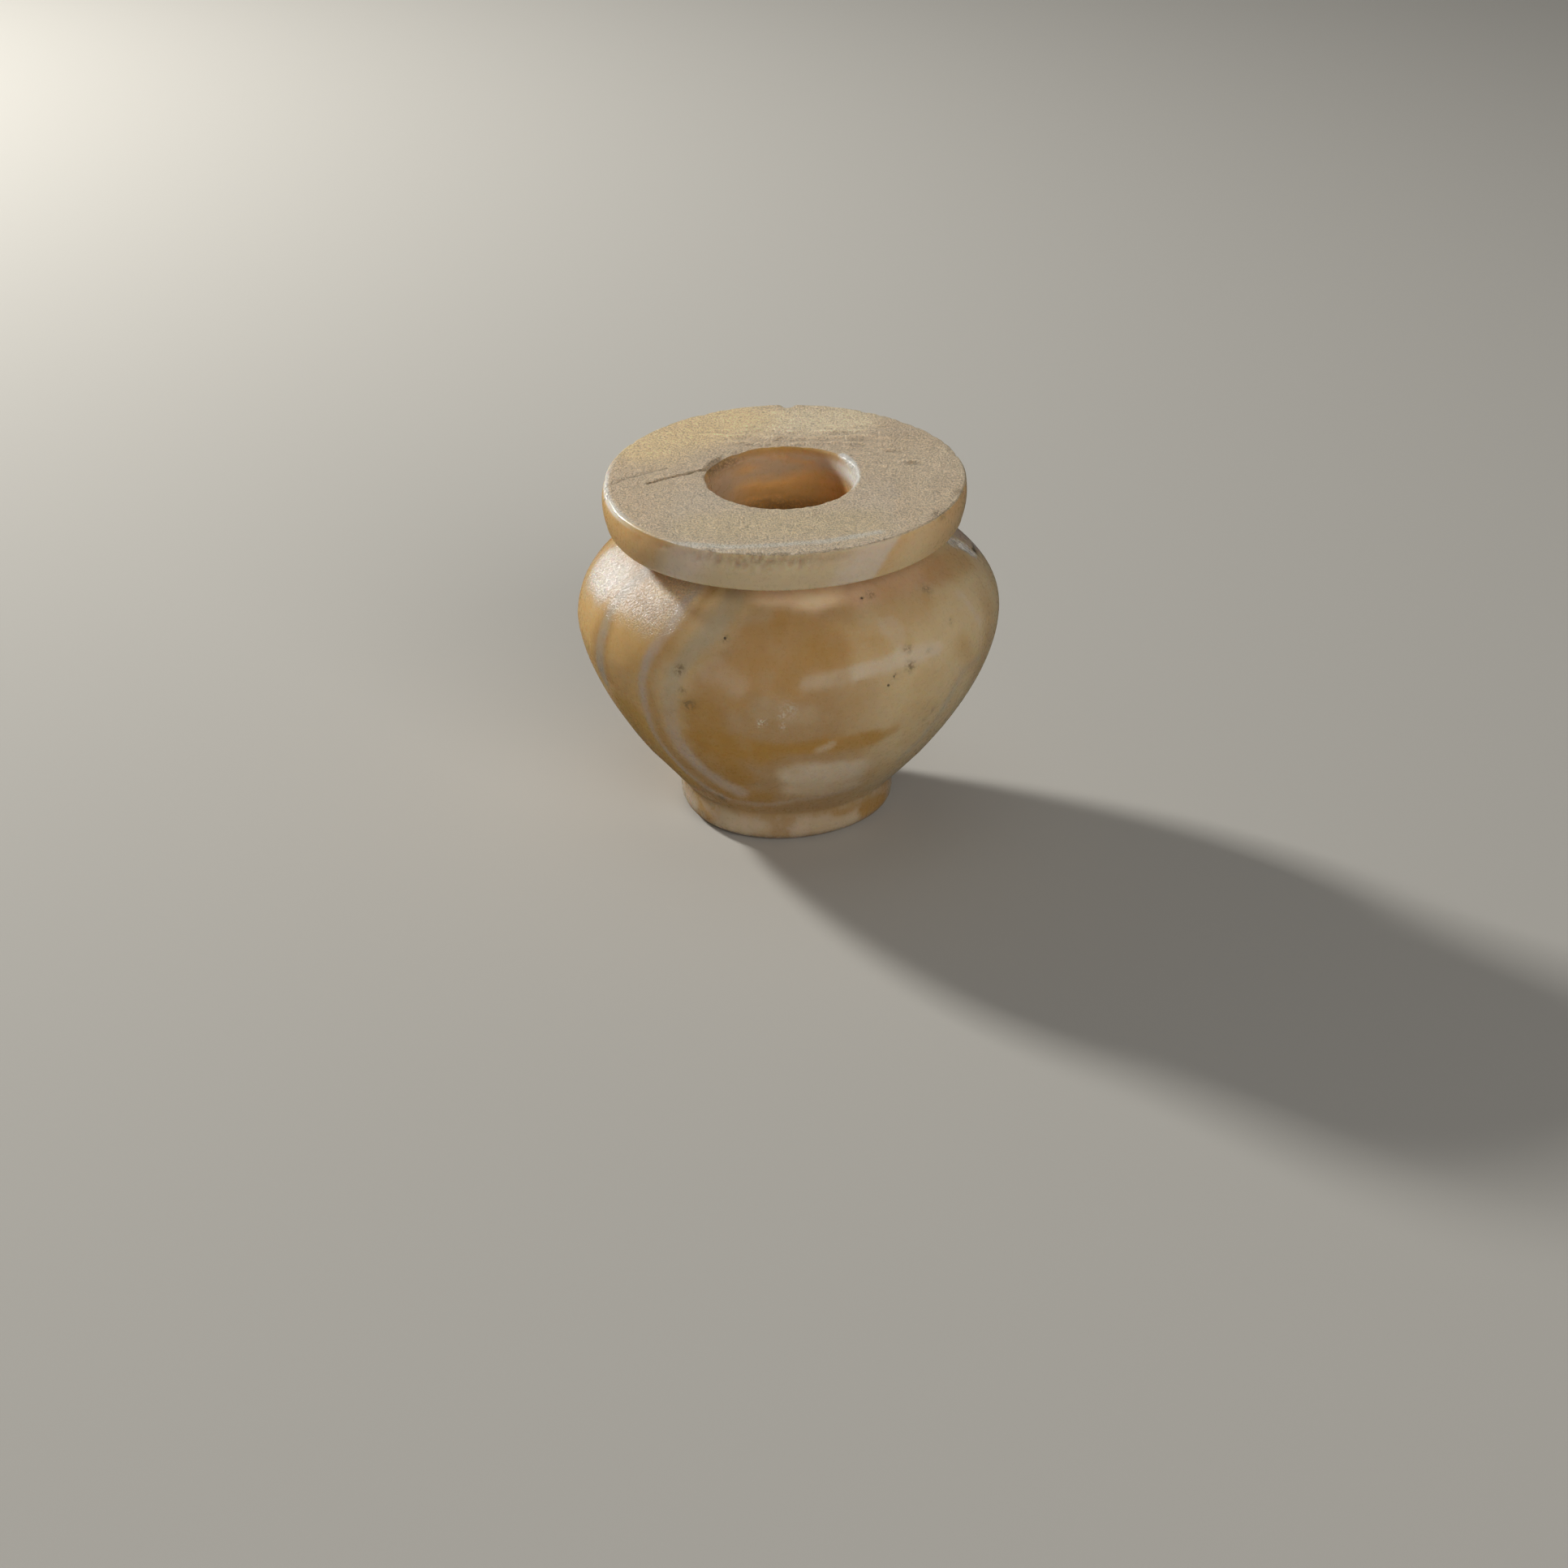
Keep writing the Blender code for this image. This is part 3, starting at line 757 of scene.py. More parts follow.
# %% Veins and bands
VEINS = {
    "outer": [(-15.5, -8.0, 34.6), (-17.1, -10.0, 32.9), (-18.5, -10.8, 31.7), (-19.9, -11.5, 29.8),
              (-20.8, -12.1, 27.8), (-21.5, -11.9, 25.0), (-21.5, -11.0, 22.6), (-21.2, -10.4, 20.4)],
    "narrow": [(-9.6, -14.8, 34.0), (-11.0, -15.9, 33.1), (-12.2, -17.2, 31.7), (-13.3, -17.8, 30.3),
               (-14.3, -18.0, 29.0), (-15.1, -18.0, 27.7), (-15.8, -18.0, 25.9), (-16.3, -17.5, 23.6),
               (-16.2, -16.7, 21.0), (-15.8, -15.6, 18.1), (-15.3, -14.7, 16.1), (-14.4, -13.8, 13.7),
               (-13.0, -13.0, 11.2), (-11.4, -12.4, 9.0), (-9.4, -12.4, 7.4), (-6.6, -12.9, 6.0)],
    "wide": [(-5.8, -16.8, 34.1), (-6.9, -18.7, 32.5), (-8.2, -19.6, 31.2), (-9.6, -20.0, 29.9),
             (-11.2, -20.2, 28.3), (-12.3, -20.1, 26.5), (-12.9, -19.7, 23.8), (-13.0, -18.5, 20.0),
             (-12.7, -17.2, 17.1), (-11.8, -16.4, 14.8), (-10.5, -15.5, 12.4), (-9.1, -15.0, 10.6),
             (-7.2, -14.8, 9.2), (-5.1, -14.8, 8.0)],
    "low": [(-5.8, -13.2, 5.9), (-3.4, -13.8, 5.9), (-1.0, -14.2, 6.1), (2.3, -14.4, 7.0), (5.0, -14.0, 7.3),
            (8.2, -12.9, 7.8)],
    "right": [(19.6, -10.6, 31.8), (20.2, -10.4, 31.3), (21.1, -10.6, 30.0), (22.3, -10.2, 28.1)],
    "right_low": [(22.4, -10.0, 23.5), (20.4, -12.9, 23.2), (19.3, -13.0, 20.0), (17.9, -12.4, 17.0),
                  (16.2, -12.2, 14.5), (13.7, -11.9, 11.2)],
}
FRONT_STOPS = [(-15.0, LEFT_GOLD), (-9.0, TAN), (5.0, TAN), (13.0, GREENISH)]
BACK_STOPS = [(-0.50, DEEP_HONEY), (-0.25, HONEY), (-0.05, TAN), (0.03, LILAC), (0.12, TAN), (0.30, CREAM),
              (0.50, HONEY)]


def back_bands():
    """Noise of a layer number: y, a share of x and of its square, and a smooth rise towards the foot."""
    x, y, z = bent.transpose(2, 0, 1)
    number = y + 0.25 * x - 0.012 * x * x + 9.0 * falling(z, 2.0, 28.0)
    lines = np.stack([number, 0.08 * z, 0.08 * x], axis=-1) * MM
    return banded(clouds(lines, size=4.2, seed=70), BACK_STOPS)


def front_veins(stone):
    """Each vein by its distance: full in its middle, faded at its edge. The wide one is warm grey above,
    with a greenish margin, and lilac low down. The narrow one is thinner low down, and the honey between
    those two is darker there."""
    z = bent[..., 2]
    away = {name: path_away(bent, path) for name, path in VEINS.items()}
    narrow = away["narrow"]
    wide = away["wide"]
    low_down = falling(z, 15.0, 26.0)
    uneven = 0.85 + 0.25 * clouds(grid, size=2.4, seed=160)
    stone = blend(stone, HONEY, 0.70 * falling(narrow, 1.6, 3.0) * falling(wide, 2.6, 4.2))
    between = falling(narrow, 1.0, 2.2) * falling(wide, 1.6, 3.0) * falling(z, 19.0, 25.0)
    stone = blend(stone, DEEP_HONEY, 0.85 * between)
    stone = blend(stone, GREENISH, 0.55 * falling(wide, 1.4, 3.0) * (1 - low_down))
    stone = blend(stone, WARM_GREY, 0.85 * falling(wide, 0.5, 1.6) * (1 - low_down))
    stone = blend(stone, LILAC, 0.80 * uneven * falling(wide, 0.5, 1.6) * low_down)
    thin = 1 + 0.5 * falling(z, 14.0, 22.0)
    stone = blend(stone, LILAC, 0.85 * uneven * falling(thin * narrow, 0.25, 1.05))
    stone = blend(stone, GREY_VEIN, 0.85 * uneven * falling(away["outer"], 0.45, 1.40))
    stone = blend(stone, LILAC, 0.55 * falling(away["low"], 0.1, 0.6))
    stone = blend(stone, PALE_GLOW, 0.60 * falling(away["right"], 0.1, 0.7))
    return blend(stone, GREY_VEIN, 0.45 * falling(away["right_low"], 0.1, 1.1))


print("veins:", {name: len(path) for name, path in VEINS.items()})

# %% [markdown]
# The patches of the body and the foot, in the order in which they are laid over one another. Each has a
# colour and a share of it, the stretch that it lies along, the radius in which it is full, and the margin
# in which it fades.

# %% Patches of the body and the foot
BODY_PATCHES = [
    # colour, share, start and end in mm, radius, margin
    (GREENISH, 0.85, (14.0, -18.0, 30.0), (18.0, -14.5, 21.0), 2.5, 5.0),
    (HONEY, 1.00, (-19.0, -8.0, 32.6), (-14.4, -13.4, 33.2), 2.4, 2.5),
    (HONEY, 0.85, (-21.0, -12.0, 28.5), (-21.4, -11.5, 22.0), 0.9, 1.6),
    (HONEY, 0.45, (14.3, -14.8, 32.8), (12.0, -16.5, 32.8), 1.5, 2.5),
    (TAN, 0.50, (23.5, -7.0, 30.0), (22.5, -8.5, 22.0), 0.5, 2.5),
    (DEEP_HONEY, 0.30, (19.9, -13.8, 27.0), (21.5, -11.6, 23.8), 0.3, 1.8),
    (OLIVE, 0.85, (6.0, -20.8, 30.5), (9.5, -20.0, 29.6), 1.6, 2.0),
    (HONEY, 0.95, (-4.5, -20.0, 31.6), (4.5, -21.3, 29.6), 2.0, 1.8),
    (HONEY, 0.90, (-4.5, -22.2, 27.6), (1.6, -22.5, 26.6), 1.5, 1.8),
    (HONEY, 0.60, (-8.0, -22.0, 24.6), (-5.5, -22.6, 24.0), 1.0, 1.6),
    (DEEP_HONEY, 0.40, (0.5, -19.9, 32.0), (3.5, -21.6, 28.9), 0.8, 1.8),
    # painted light: the band in the rim's shadow under its front is made lighter, as if lit through the rim
    (UNDER_RIM_PAINTED_LIGHT, 0.80, (-11.5, -14.8, 33.9), (2.8, -17.6, 34.6), 0.9, 1.9),
    (UNDER_RIM_PAINTED_LIGHT, 0.80, (2.8, -17.6, 34.8), (8.0, -15.8, 34.9), 0.7, 1.7),
    (PINK_TAN, 0.80, (8.0, -15.8, 34.6), (16.8, -9.0, 34.5), 1.1, 2.2),
    # painted light: the rim's shadow on the left shoulder is made a brighter gold
    (RIM_SHADOW_PAINTED_GOLD, 0.85, (-13.6, -12.6, 33.9), (-9.0, -15.8, 33.9), 1.4, 1.4),
    (HONEY, 0.70, (17.2, -9.5, 34.2), (20.5, -4.0, 33.4), 0.8, 2.0),
    (WARM_GREY, 0.45, (-8.0, -18.4, 32.9), (-2.2, -19.4, 32.9), 0.4, 1.3),
    (DEEP_HONEY, 0.70, (-9.8, -20.4, 21.6), (-8.2, -19.6, 18.0), 1.4, 2.4),
    (DEEP_HONEY, 0.95, (-9.0, -19.1, 17.2), (-3.0, -19.8, 15.8), 1.2, 2.4),
    (DEEP_HONEY, 0.90, (-3.0, -19.8, 16.4), (4.4, -20.1, 17.2), 0.4, 1.6),
    (DEEP_HONEY, 0.90, (-8.4, -17.9, 14.2), (-5.6, -16.4, 11.0), 1.4, 2.2),
    # the stone's deep gold low on the left, darkened there as painted shade
    (LOW_GOLD_WITH_PAINTED_SHADE, 0.95, (-17.6, -12.0, 17.0), (-12.6, -9.6, 8.0), 2.0, 2.0),
    (DEEP_HONEY, 0.75, (6.4, -19.6, 16.8), (10.0, -18.4, 17.2), 0.8, 1.5),
    (DEEP_HONEY, 0.60, (9.6, -18.6, 17.6), (12.4, -17.5, 17.8), 0.2, 1.2),
    (PINK_PALE, 0.65, (-8.2, -21.7, 27.2), (-5.6, -22.4, 26.0), 0.8, 1.5),
    (CREAM, 0.35, (-2.4, -22.4, 22.8), (3.0, -22.1, 22.0), 0.8, 1.4),
    (PALE_GLOW, 0.50, (2.6, -22.5, 26.0), (8.0, -21.5, 26.9), 0.4, 1.1),
    (PALE_GLOW, 0.85, (8.0, -21.4, 27.0), (13.0, -19.2, 27.6), 0.55, 0.8),
    (PALE_GLOW, 0.95, (13.0, -19.2, 27.7), (17.0, -16.6, 28.0), 0.6, 0.8),
    (PALE_GLOW, 0.45, (11.6, -18.2, 31.4), (12.8, -18.6, 30.0), 1.0, 0.3),
    (PALE_GLOW, 0.60, (4.2, -19.7, 16.4), (5.4, -19.6, 16.9), 0.2, 0.8),
    (PALE_GLOW, 1.00, (1.8, -17.6, 11.9), (7.9, -15.9, 11.6), 1.3, 2.2),
    (PALE_GLOW, 0.70, (1.3, -15.6, 9.0), (8.0, -13.8, 8.8), 0.5, 1.8),
    (DEEP_HONEY, 0.70, (-7.3, -13.9, 8.0), (-2.0, -14.8, 7.6), 0.3, 1.3),
    (LILAC, 0.85, (20.5, 2.5, 33.6), (22.4, 5.5, 30.8), 1.4, 1.6),
]
FOOT_PATCHES = [
    (PALE_GLOW, 0.90, (-7.8, -10.7, 2.6), (-4.9, -12.3, 2.0), 0.8, 1.3),
    (PALE_GLOW, 0.60, (-3.9, -12.6, 2.2), (-2.4, -12.9, 2.3), 0.4, 1.0),
    (PALE_GLOW, 0.80, (2.4, -12.5, 2.4), (8.3, -9.5, 1.6), 0.5, 1.2),
    (HONEY, 0.85, (6.3, -11.0, 3.6), (7.7, -10.0, 3.5), 0.4, 0.9),
    (LEFT_GOLD, 0.80, (-10.1, -8.4, 3.4), (-8.6, -10.0, 2.8), 0.6, 1.2),
    # painted highlight: a white patch on the foot's left side, where the key light catches it
    (CRUSHED_AND_HIGHLIGHT_WHITE, 0.50, (-12.4, -3.5, 2.6), (-11.0, -7.0, 2.6), 0.8, 1.4),
    (DEEP_HONEY, 0.85, (9.8, -8.0, 2.6), (11.6, -5.6, 2.4), 0.9, 1.8),
    (PINK_PALE, 0.80, (11.9, -5.2, 4.0), (13.2, -1.4, 2.6), 0.4, 1.2),
]
# Painted shade: the stone's colour is darkened towards the foot, where the lower body is in shade.
PAINTED_LOW_SHADE = np.array([0.20, 0.22, 0.27])    # how much of red, green and blue the stone loses near the foot


def patched(stone, patches, extent=1.0):
    """Lays each patch over the stone by its distance, torn at the edge by noise."""
    for colour, share, start, end, radius, margin in patches:
        laid = falling(path_away(torn, [start, end]), radius, radius + margin)
        stone = blend(stone, colour, share * laid * extent)
    return stone


def body_stone():
    """Gold at the left, tan in the middle and greenish at the right in front, bands behind, then the
    patches, the veins, the foot and fine clouds, and last a painted shade that darkens the stone towards the
    foot. The line where the back begins leans as the skin does, seen from the front."""
    x, y, z = bent.transpose(2, 0, 1)
    front = banded(x + 1.5 * clouds(grid, size=6.0, seed=80), FRONT_STOPS)
    behind = rising(y - 0.4 * (z - 25.0), -3.0, 4.0)[..., None]
    stone = front + (back_bands() - front) * behind
    stone = front_veins(patched(stone, BODY_PATCHES))
    on_foot = falling(pz, 2.8, 4.4)
    stone = patched(blend(stone, PINK_PALE, 0.40 * on_foot), FOOT_PATCHES, on_foot)
    pinkish = 0.7 * on_foot * falling(px, 8.0, 10.5) * rising(clouds(grid, size=1.4, seed=120), 0.0, 0.3)
    stone = blend(stone, FOOT_PINK, pinkish)
    fine = clouds(grid, size=2.6, seed=90)
    stone = blend(stone, DEEP_HONEY, 0.18 * rising(-fine, 0.05, 0.6))
    stone = blend(stone, PALE_GLOW, 0.10 * rising(fine, 0.05, 0.6))
    # painted shade: darker towards the foot
    return stone * (1 - PAINTED_LOW_SHADE * falling(pz, 3.0, 17.0)[..., None])


print("patches:", len(BODY_PATCHES) + len(FOOT_PATCHES))

# %% [markdown]
# The rim's side cuts the layers end on, so its colours change across the front, along a line that leans a
# little. Its top lost the polish to grinding and is pale; its ripples are painted lighter on their crests and
# darker in their troughs, as painted light and shade. The bore is pink near the lip, and has painted light
# and
# shade: a pale lit crescent at the right, orange lower down for the glow of light through the stone, and
# brown in the deep.

# %% Rim and bore
RIM_SIDE_STOPS = [
    # place across the front in mm, colour
    (-18.5, LEFT_GOLD), (-14.6, OLIVE), (-13.6, RIM_GREEN), (-12.4, RIM_LILAC), (-9.6, RIM_LILAC),
    (-7.4, RIM_GREEN), (5.0, RIM_GREEN), (7.2, RIM_LILAC), (10.6, RIM_LILAC), (11.2, OLIVE),
    (14.0, GREENISH), (17.5, OLIVE),
]
TOP_PATCHES = [
    (TOP_PALE, 0.80, (-5.0, 15.5, 42.6), (7.0, 15.5, 42.9), 1.5, 5.0),
    (TOP_PEACH, 0.85, (-17.0, 9.0, 42.0), (-7.0, 16.5, 42.5), 1.5, 7.0),
    (TOP_GREEN, 0.75, (-9.0, -14.0, 41.3), (8.0, -14.0, 41.8), 1.5, 4.5),
]
FRONT_LINE = [(-12.5, -17.9, 0), (-6.2, -19.3, 0), (-0.9, -19.0, 0), (4.5, -18.3, 0), (10.3, -16.2, 0)]
RUBBED_LIP = [(6.3, 5.0, 0), (6.9, 4.1, 0), (7.5, 2.6, 0), (7.9, -0.1, 0), (7.8, -2.4, 0), (7.1, -4.4, 0)]


def rim_stone(stone):
    """Colours by the leaning distance across the rim's front, then the top's ground colours by place,
    wherever it is worn. The ripples are painted lighter on their crests and darker in their troughs, as
    painted light and shade, with a little random tone, and faint rows run across it."""
    leaning = px - 0.5 * (pz - 39.5) + 0.8 * clouds(grid, size=3.0, seed=100)
    front = banded(leaning, RIM_SIDE_STOPS)
    on_rim = within("shelf", "rim_lower", "rim_face", "rim_worn", "top", "bevel") * falling(py, -6.0, 0.0)
    stone = stone + (front - stone) * on_rim[..., None]
    top = patched(blend(stone, TOP_GREY, np.full_like(px, 0.8)), TOP_PATCHES)
    top = blend(top, TOP_LINE, 0.70 * falling(path_away(plan, FRONT_LINE), 0.15, 0.75))
    # painted light and shade: lighter on the ripples' crests, darker in their troughs
    painted_ripple_shading = 1 + 1.2 * rim_ripples() + 0.05 * clouds(grid, size=1.1, seed=150)
    rows = 1 + 0.03 * clouds(grid * np.array([0.12, 1.0, 1.0]), size=1.4, seed=140)
    top = top * (painted_ripple_shading * rows)[..., None]
    return stone + (top - stone) * (worn * within("top", "rim_worn"))[..., None]


def bore_colour_and_painted_light(stone):
    """Pink near the lip and at the left, orange lower down at the right, brown in the deep, all in streaks
    drawn out round the wall. The orange is painted glow of light through the stone, the brown in the deep is
    painted shade, and a pale crescent near the lip at the right is painted light."""
    inside = within("bevel", "bore", "widening", "wall", "floor_corner", "floor") * rising(depth, 0.3, 1.2)
    streaks = clouds(grid * np.array([0.25, 0.25, 1.0]), size=1.3, seed=130)
    wall = blend(stone, BORE_PINK, np.full_like(px, 0.85))
    # painted glow: orange lower down at the right, for light coming through the stone
    wall = blend(wall, BORE_PAINTED_GLOW_ORANGE, rising(depth + 2.0 * streaks, 1.5, 4.5) * rising(px, -8.5, -3.5))
    wall = blend(wall, BORE_BROWN_AND_PAINTED_SHADE, 0.22 * rising(streaks, 0.0, 0.5))
    # painted shade: brown in the deep of the bore
    wall = blend(wall, BORE_BROWN_AND_PAINTED_SHADE, 0.85 * rising(depth + 1.5 * streaks, 5.5, 8.5))
    # painted light: a pale crescent on the bore's wall at the right, just under the lip
    painted_lit_crescent = bell(azimuth, 12.0, 32.0, 4) * falling(depth, 1.7, 2.7)
    wall = blend(wall, LIP_WHITE_AND_PAINTED_LIGHT, 0.9 * painted_lit_crescent)
    return stone + (wall - stone) * inside[..., None]


# %% [markdown]
# Where the polish is gone the stone needs another finish, so the worn places are a mask of their own: the
# rim's top, its rubbed front edge, the rubbed lip and the chip. The scratched shoulder is a second mask,
# because it is only half worn.

# %% Worn places
SCRATCHED_PATH = [(-21.5, -3.5, 32.5), (-14.4, -14.4, 33.0)]
rubbed_lip = falling(path_away(plan, RUBBED_LIP), 0.20, 0.60) * falling(depth, 0.5, 1.0) * (mouth_reach < 11)
rubbed_front = falling(depth, 0.9, 1.5) * bell(azimuth, FRONT_WEAR_BEARING, FRONT_WEAR_SPREAD, power=6)
rubbed_front = rubbed_front * within("rim_face", "rim_worn")
flaked = chip_fall()
worn_edge = within("rim_worn") * falling(depth, 0.05, 0.3) * (1 - bell(azimuth, 195.0, 30.0, 4))
worn = np.maximum(within("top"), worn_edge)
worn = np.maximum.reduce([worn, 0.3 * rubbed_front, rubbed_lip, flaked])
scratched = falling(path_away(torn, SCRATCHED_PATH), 3.0, 6.0) * within("shoulder")
print("worn share:", round(float(worn.mean()), 2))

# %% [markdown]
# Dirt, painted shade and bruises are finer than the mesh, so the mesh only says where they are and how
# strong. The material breaks them up into specks. Dirt lies in pits and scratches, on the rubbed front edge
# and on the chip, and the bore is speckled darker low down. The broken slope at the lip's left rear gets the
# same dark specks as painted shade. Bruises are where crystals were crushed white: the lip's right side, the
# front edge and the chip. A few places are whiter all over: the chip, crushed white; the scratched shoulder,
# partly for its scratches and partly as painted highlight; the glare on the shoulder and the rubbed left
# edge, as painted highlight; and the lip's right side, partly crushed white and partly painted light.

# %% Where dirt, bruises, painted shade and painted highlights are
DIRT_SPOTS = [
    # place in mm, radius, strength
    ((-11.9, -20.2, 26.6), 1.1, 1.0), ((-10.7, -20.3, 22.1), 1.3, 1.0), ((-11.6, -20.4, 23.9), 0.7, 0.8),
    ((-6.8, -20.5, 30.7), 0.8, 0.9), ((13.9, -18.5, 28.7), 0.9, 0.9), ((14.2, -18.8, 26.6), 1.1, 1.0),
    ((12.2, -19.8, 25.9), 0.6, 0.8), ((9.2, -15.8, 34.3), 1.0, 0.9), ((8.4, -16.6, 34.0), 0.6, 0.7),
    ((15.7, -12.4, 33.5), 1.0, 0.9), ((17.0, -11.8, 42.3), 1.1, 1.0), ((19.4, -6.2, 42.7), 0.9, 1.0),
    ((18.6, -14.1, 29.9), 0.6, 0.8), ((17.3, -14.5, 19.2), 0.7, 0.8), ((22.0, 1.4, 32.0), 0.8, 1.0),
    ((22.3, 0.4, 31.7), 0.7, 1.0), ((12.7, -19.5, 25.3), 0.5, 0.9), ((16.0, -17.3, 27.8), 0.5, 0.8),
    ((16.0, -12.2, 33.4), 0.5, 0.9), ((18.6, -14.0, 30.0), 0.5, 0.9), ((16.3, -14.8, 18.2), 0.6, 0.8),
    ((-7.5, -12.4, 5.9), 0.8, 1.0),
]
BRUISED_SPOTS = [
    ((-2.7, -21.9, 20.9), 0.9, 1.0), ((-0.2, -21.8, 20.4), 0.7, 0.9), ((-20.9, -6.5, 41.6), 1.2, 0.6),
    ((-0.5, -22.4, 22.2), 0.8, 0.6), ((0.5, -21.9, 23.2), 1.8, 0.45), ((5.4, -19.9, 17.5), 0.8, 0.3),
]
# where the shoulder is whitened as painted highlight, at the key light's glare
PAINTED_GLARE_PATH = [(-21.8, -3.0, 32.0), (-20.2, -6.8, 31.8)]


def spotted(spots):
    """The strongest of the spots at each point: full in the middle of a spot and nothing at its radius."""
    shares = [strength * falling(path_away(torn, [place, place]), 0.2 * radius, radius)
              for place, radius, strength in spots]
    return np.maximum.reduce(shares)


# painted shade: the broken slope at the lip's left rear, which faces away from the light
lip_slope_painted_shade = within("bevel", "bore") * bell(azimuth, 148.0, 26.0, 4) * falling(depth, 0.9, 1.6)
bevel_band = rubbed_front * rising(depth, 0.25, 0.7)
low_bore = within("bore", "widening") * rising(depth, 5.0, 8.0) * 0.7
dirt_and_painted_shade = [spotted(DIRT_SPOTS), 0.8 * lip_slope_painted_shade, 0.22 * bevel_band, low_bore, 0.25 * flaked, 0.30 * scratched]
dirt_and_painted_shade = np.maximum.reduce(dirt_and_painted_shade)
front_edge = falling(path_away(plan, FRONT_LINE), 0.2, 0.8) * within("top", "rim_worn")
bruised = [spotted(BRUISED_SPOTS), rubbed_lip, 0.7 * front_edge, flaked, 0.35 * scratched]
bruised = np.maximum.reduce(bruised)
colour = bore_colour_and_painted_light(rim_stone(body_stone()))
# painted highlight: the rim's rounded left edge is whitened where the key light is reflected
painted_edge_highlight = falling(np.hypot(from_edge, depth), 0.45, 0.85)
painted_edge_highlight = bell(azimuth, LEFT_WEAR_BEARING, 1.6 * LEFT_WEAR_SPREAD, 4) * painted_edge_highlight
# painted highlight: the shoulder is whitened where the key light's glare falls
painted_glare = falling(path_away(torn, PAINTED_GLARE_PATH), 1.5, 4.5) * within("shoulder")
# the scratched shoulder is whitened partly for its scratches and partly as painted highlight; the glare and
# the left edge are painted highlight
whitening_and_painted_highlight = np.maximum.reduce([0.20 * scratched, 0.80 * painted_glare, 0.95 * painted_edge_highlight])
colour = blend(colour, CRUSHED_AND_HIGHLIGHT_WHITE, whitening_and_painted_highlight)
crumbled = flaked * (0.35 + 0.65 * rising(field(grid, size=0.55, seed=30), -0.5, 0.2))
colour = blend(colour, CRUMBLED, crumbled)
# the lip's right side whitened: partly crushed white, partly painted light where the lit crescent begins
colour = blend(colour, LIP_WHITE_AND_PAINTED_LIGHT, 0.8 * rubbed_lip)
print("dirty:", round(float(dirt_and_painted_shade.mean()), 3), "bruised:", round(float(bruised.mean()), 3))

# %% [markdown]
# The grid becomes a mesh: a quad between each pair of neighbouring points, and a fan of triangles at the
# two poles, in the middle of the underside and of the chamber's floor. Nothing is left open, so the jar is
# one closed solid. The colours and the masks go with it as values of its points, so they follow the
# surface.

# %% Mesh
def jar_mesh(points):
    """Vertices in ring order, then the two poles. Faces run round each ring and turn outwards."""
    ring_count, around = points.shape[:2]
    ring_number, place = np.meshgrid(np.arange(ring_count - 1), np.arange(around), indexing="ij")
    after = (place + 1) % around
    low, high = ring_number * around, (ring_number + 1) * around
    quads = np.stack([low + place, low + after, high + after, high + place], axis=-1).reshape(-1, 4)
    bottom_pole = ring_count * around
    top_pole = bottom_pole + 1
    k = np.arange(around)
    k_after = (k + 1) % around
    last = (ring_count - 1) * around
    bottom_fan = np.stack([k_after, k, np.full(around, bottom_pole)], axis=-1)
    top_fan = np.stack([last + k, last + k_after, np.full(around, top_pole)], axis=-1)
    mesh = bpy.data.meshes.new("stone_jar")
    faces = quads.tolist() + bottom_fan.tolist() + top_fan.tolist()
    mesh.from_pydata(with_poles(points), [], faces)
    mesh.shade_smooth()
    return mesh


def with_poles(values):
    """Values in ring order, then the means of the first and of the last ring for the two poles."""
    flat = values.reshape(-1, values.shape[-1])
    return np.concatenate([flat, values[:1].mean(axis=1), values[-1:].mean(axis=1)])


def paint(mesh, name, values):
    """A colour or a number for each vertex, under a name that the material reads."""
    if values.ndim == 3:
        opaque = np.ones(values.shape[:2] + (1,))
        layer = mesh.attributes.new(name, "FLOAT_COLOR", "POINT")
        layer.data.foreach_set("color", with_poles(np.concatenate([values, opaque], axis=-1)).ravel())
    else:
        layer = mesh.attributes.new(name, "FLOAT", "POINT")
        layer.data.foreach_set("value", with_poles(values[..., None]).ravel())


jar = bpy.data.objects.new("stone_jar", jar_mesh(grid + normals * (relief * MM)[:, :, None]))
layers = {"stone": colour, "worn": worn, "scratched": scratched, "dirt_and_painted_shade": dirt_and_painted_shade, "bruised": bruised}
for layer_name, values in layers.items():
    paint(jar.data, layer_name, values)
bpy.context.scene.collection.objects.link(jar)
jar.data.calc_loop_triangles()
print("triangles:", len(jar.data.loop_triangles), "values:", [layer.name for layer in jar.data.attributes])

# %% [markdown]
# The finish is made of shader nodes. Sums of values are written as plain Python: a small class wraps a
# node's socket, and adding, subtracting or multiplying wrapped values puts a Math node in the tree. All
# nodes that work out a value come from one method, which sets the node's own settings first and then its
# sockets.

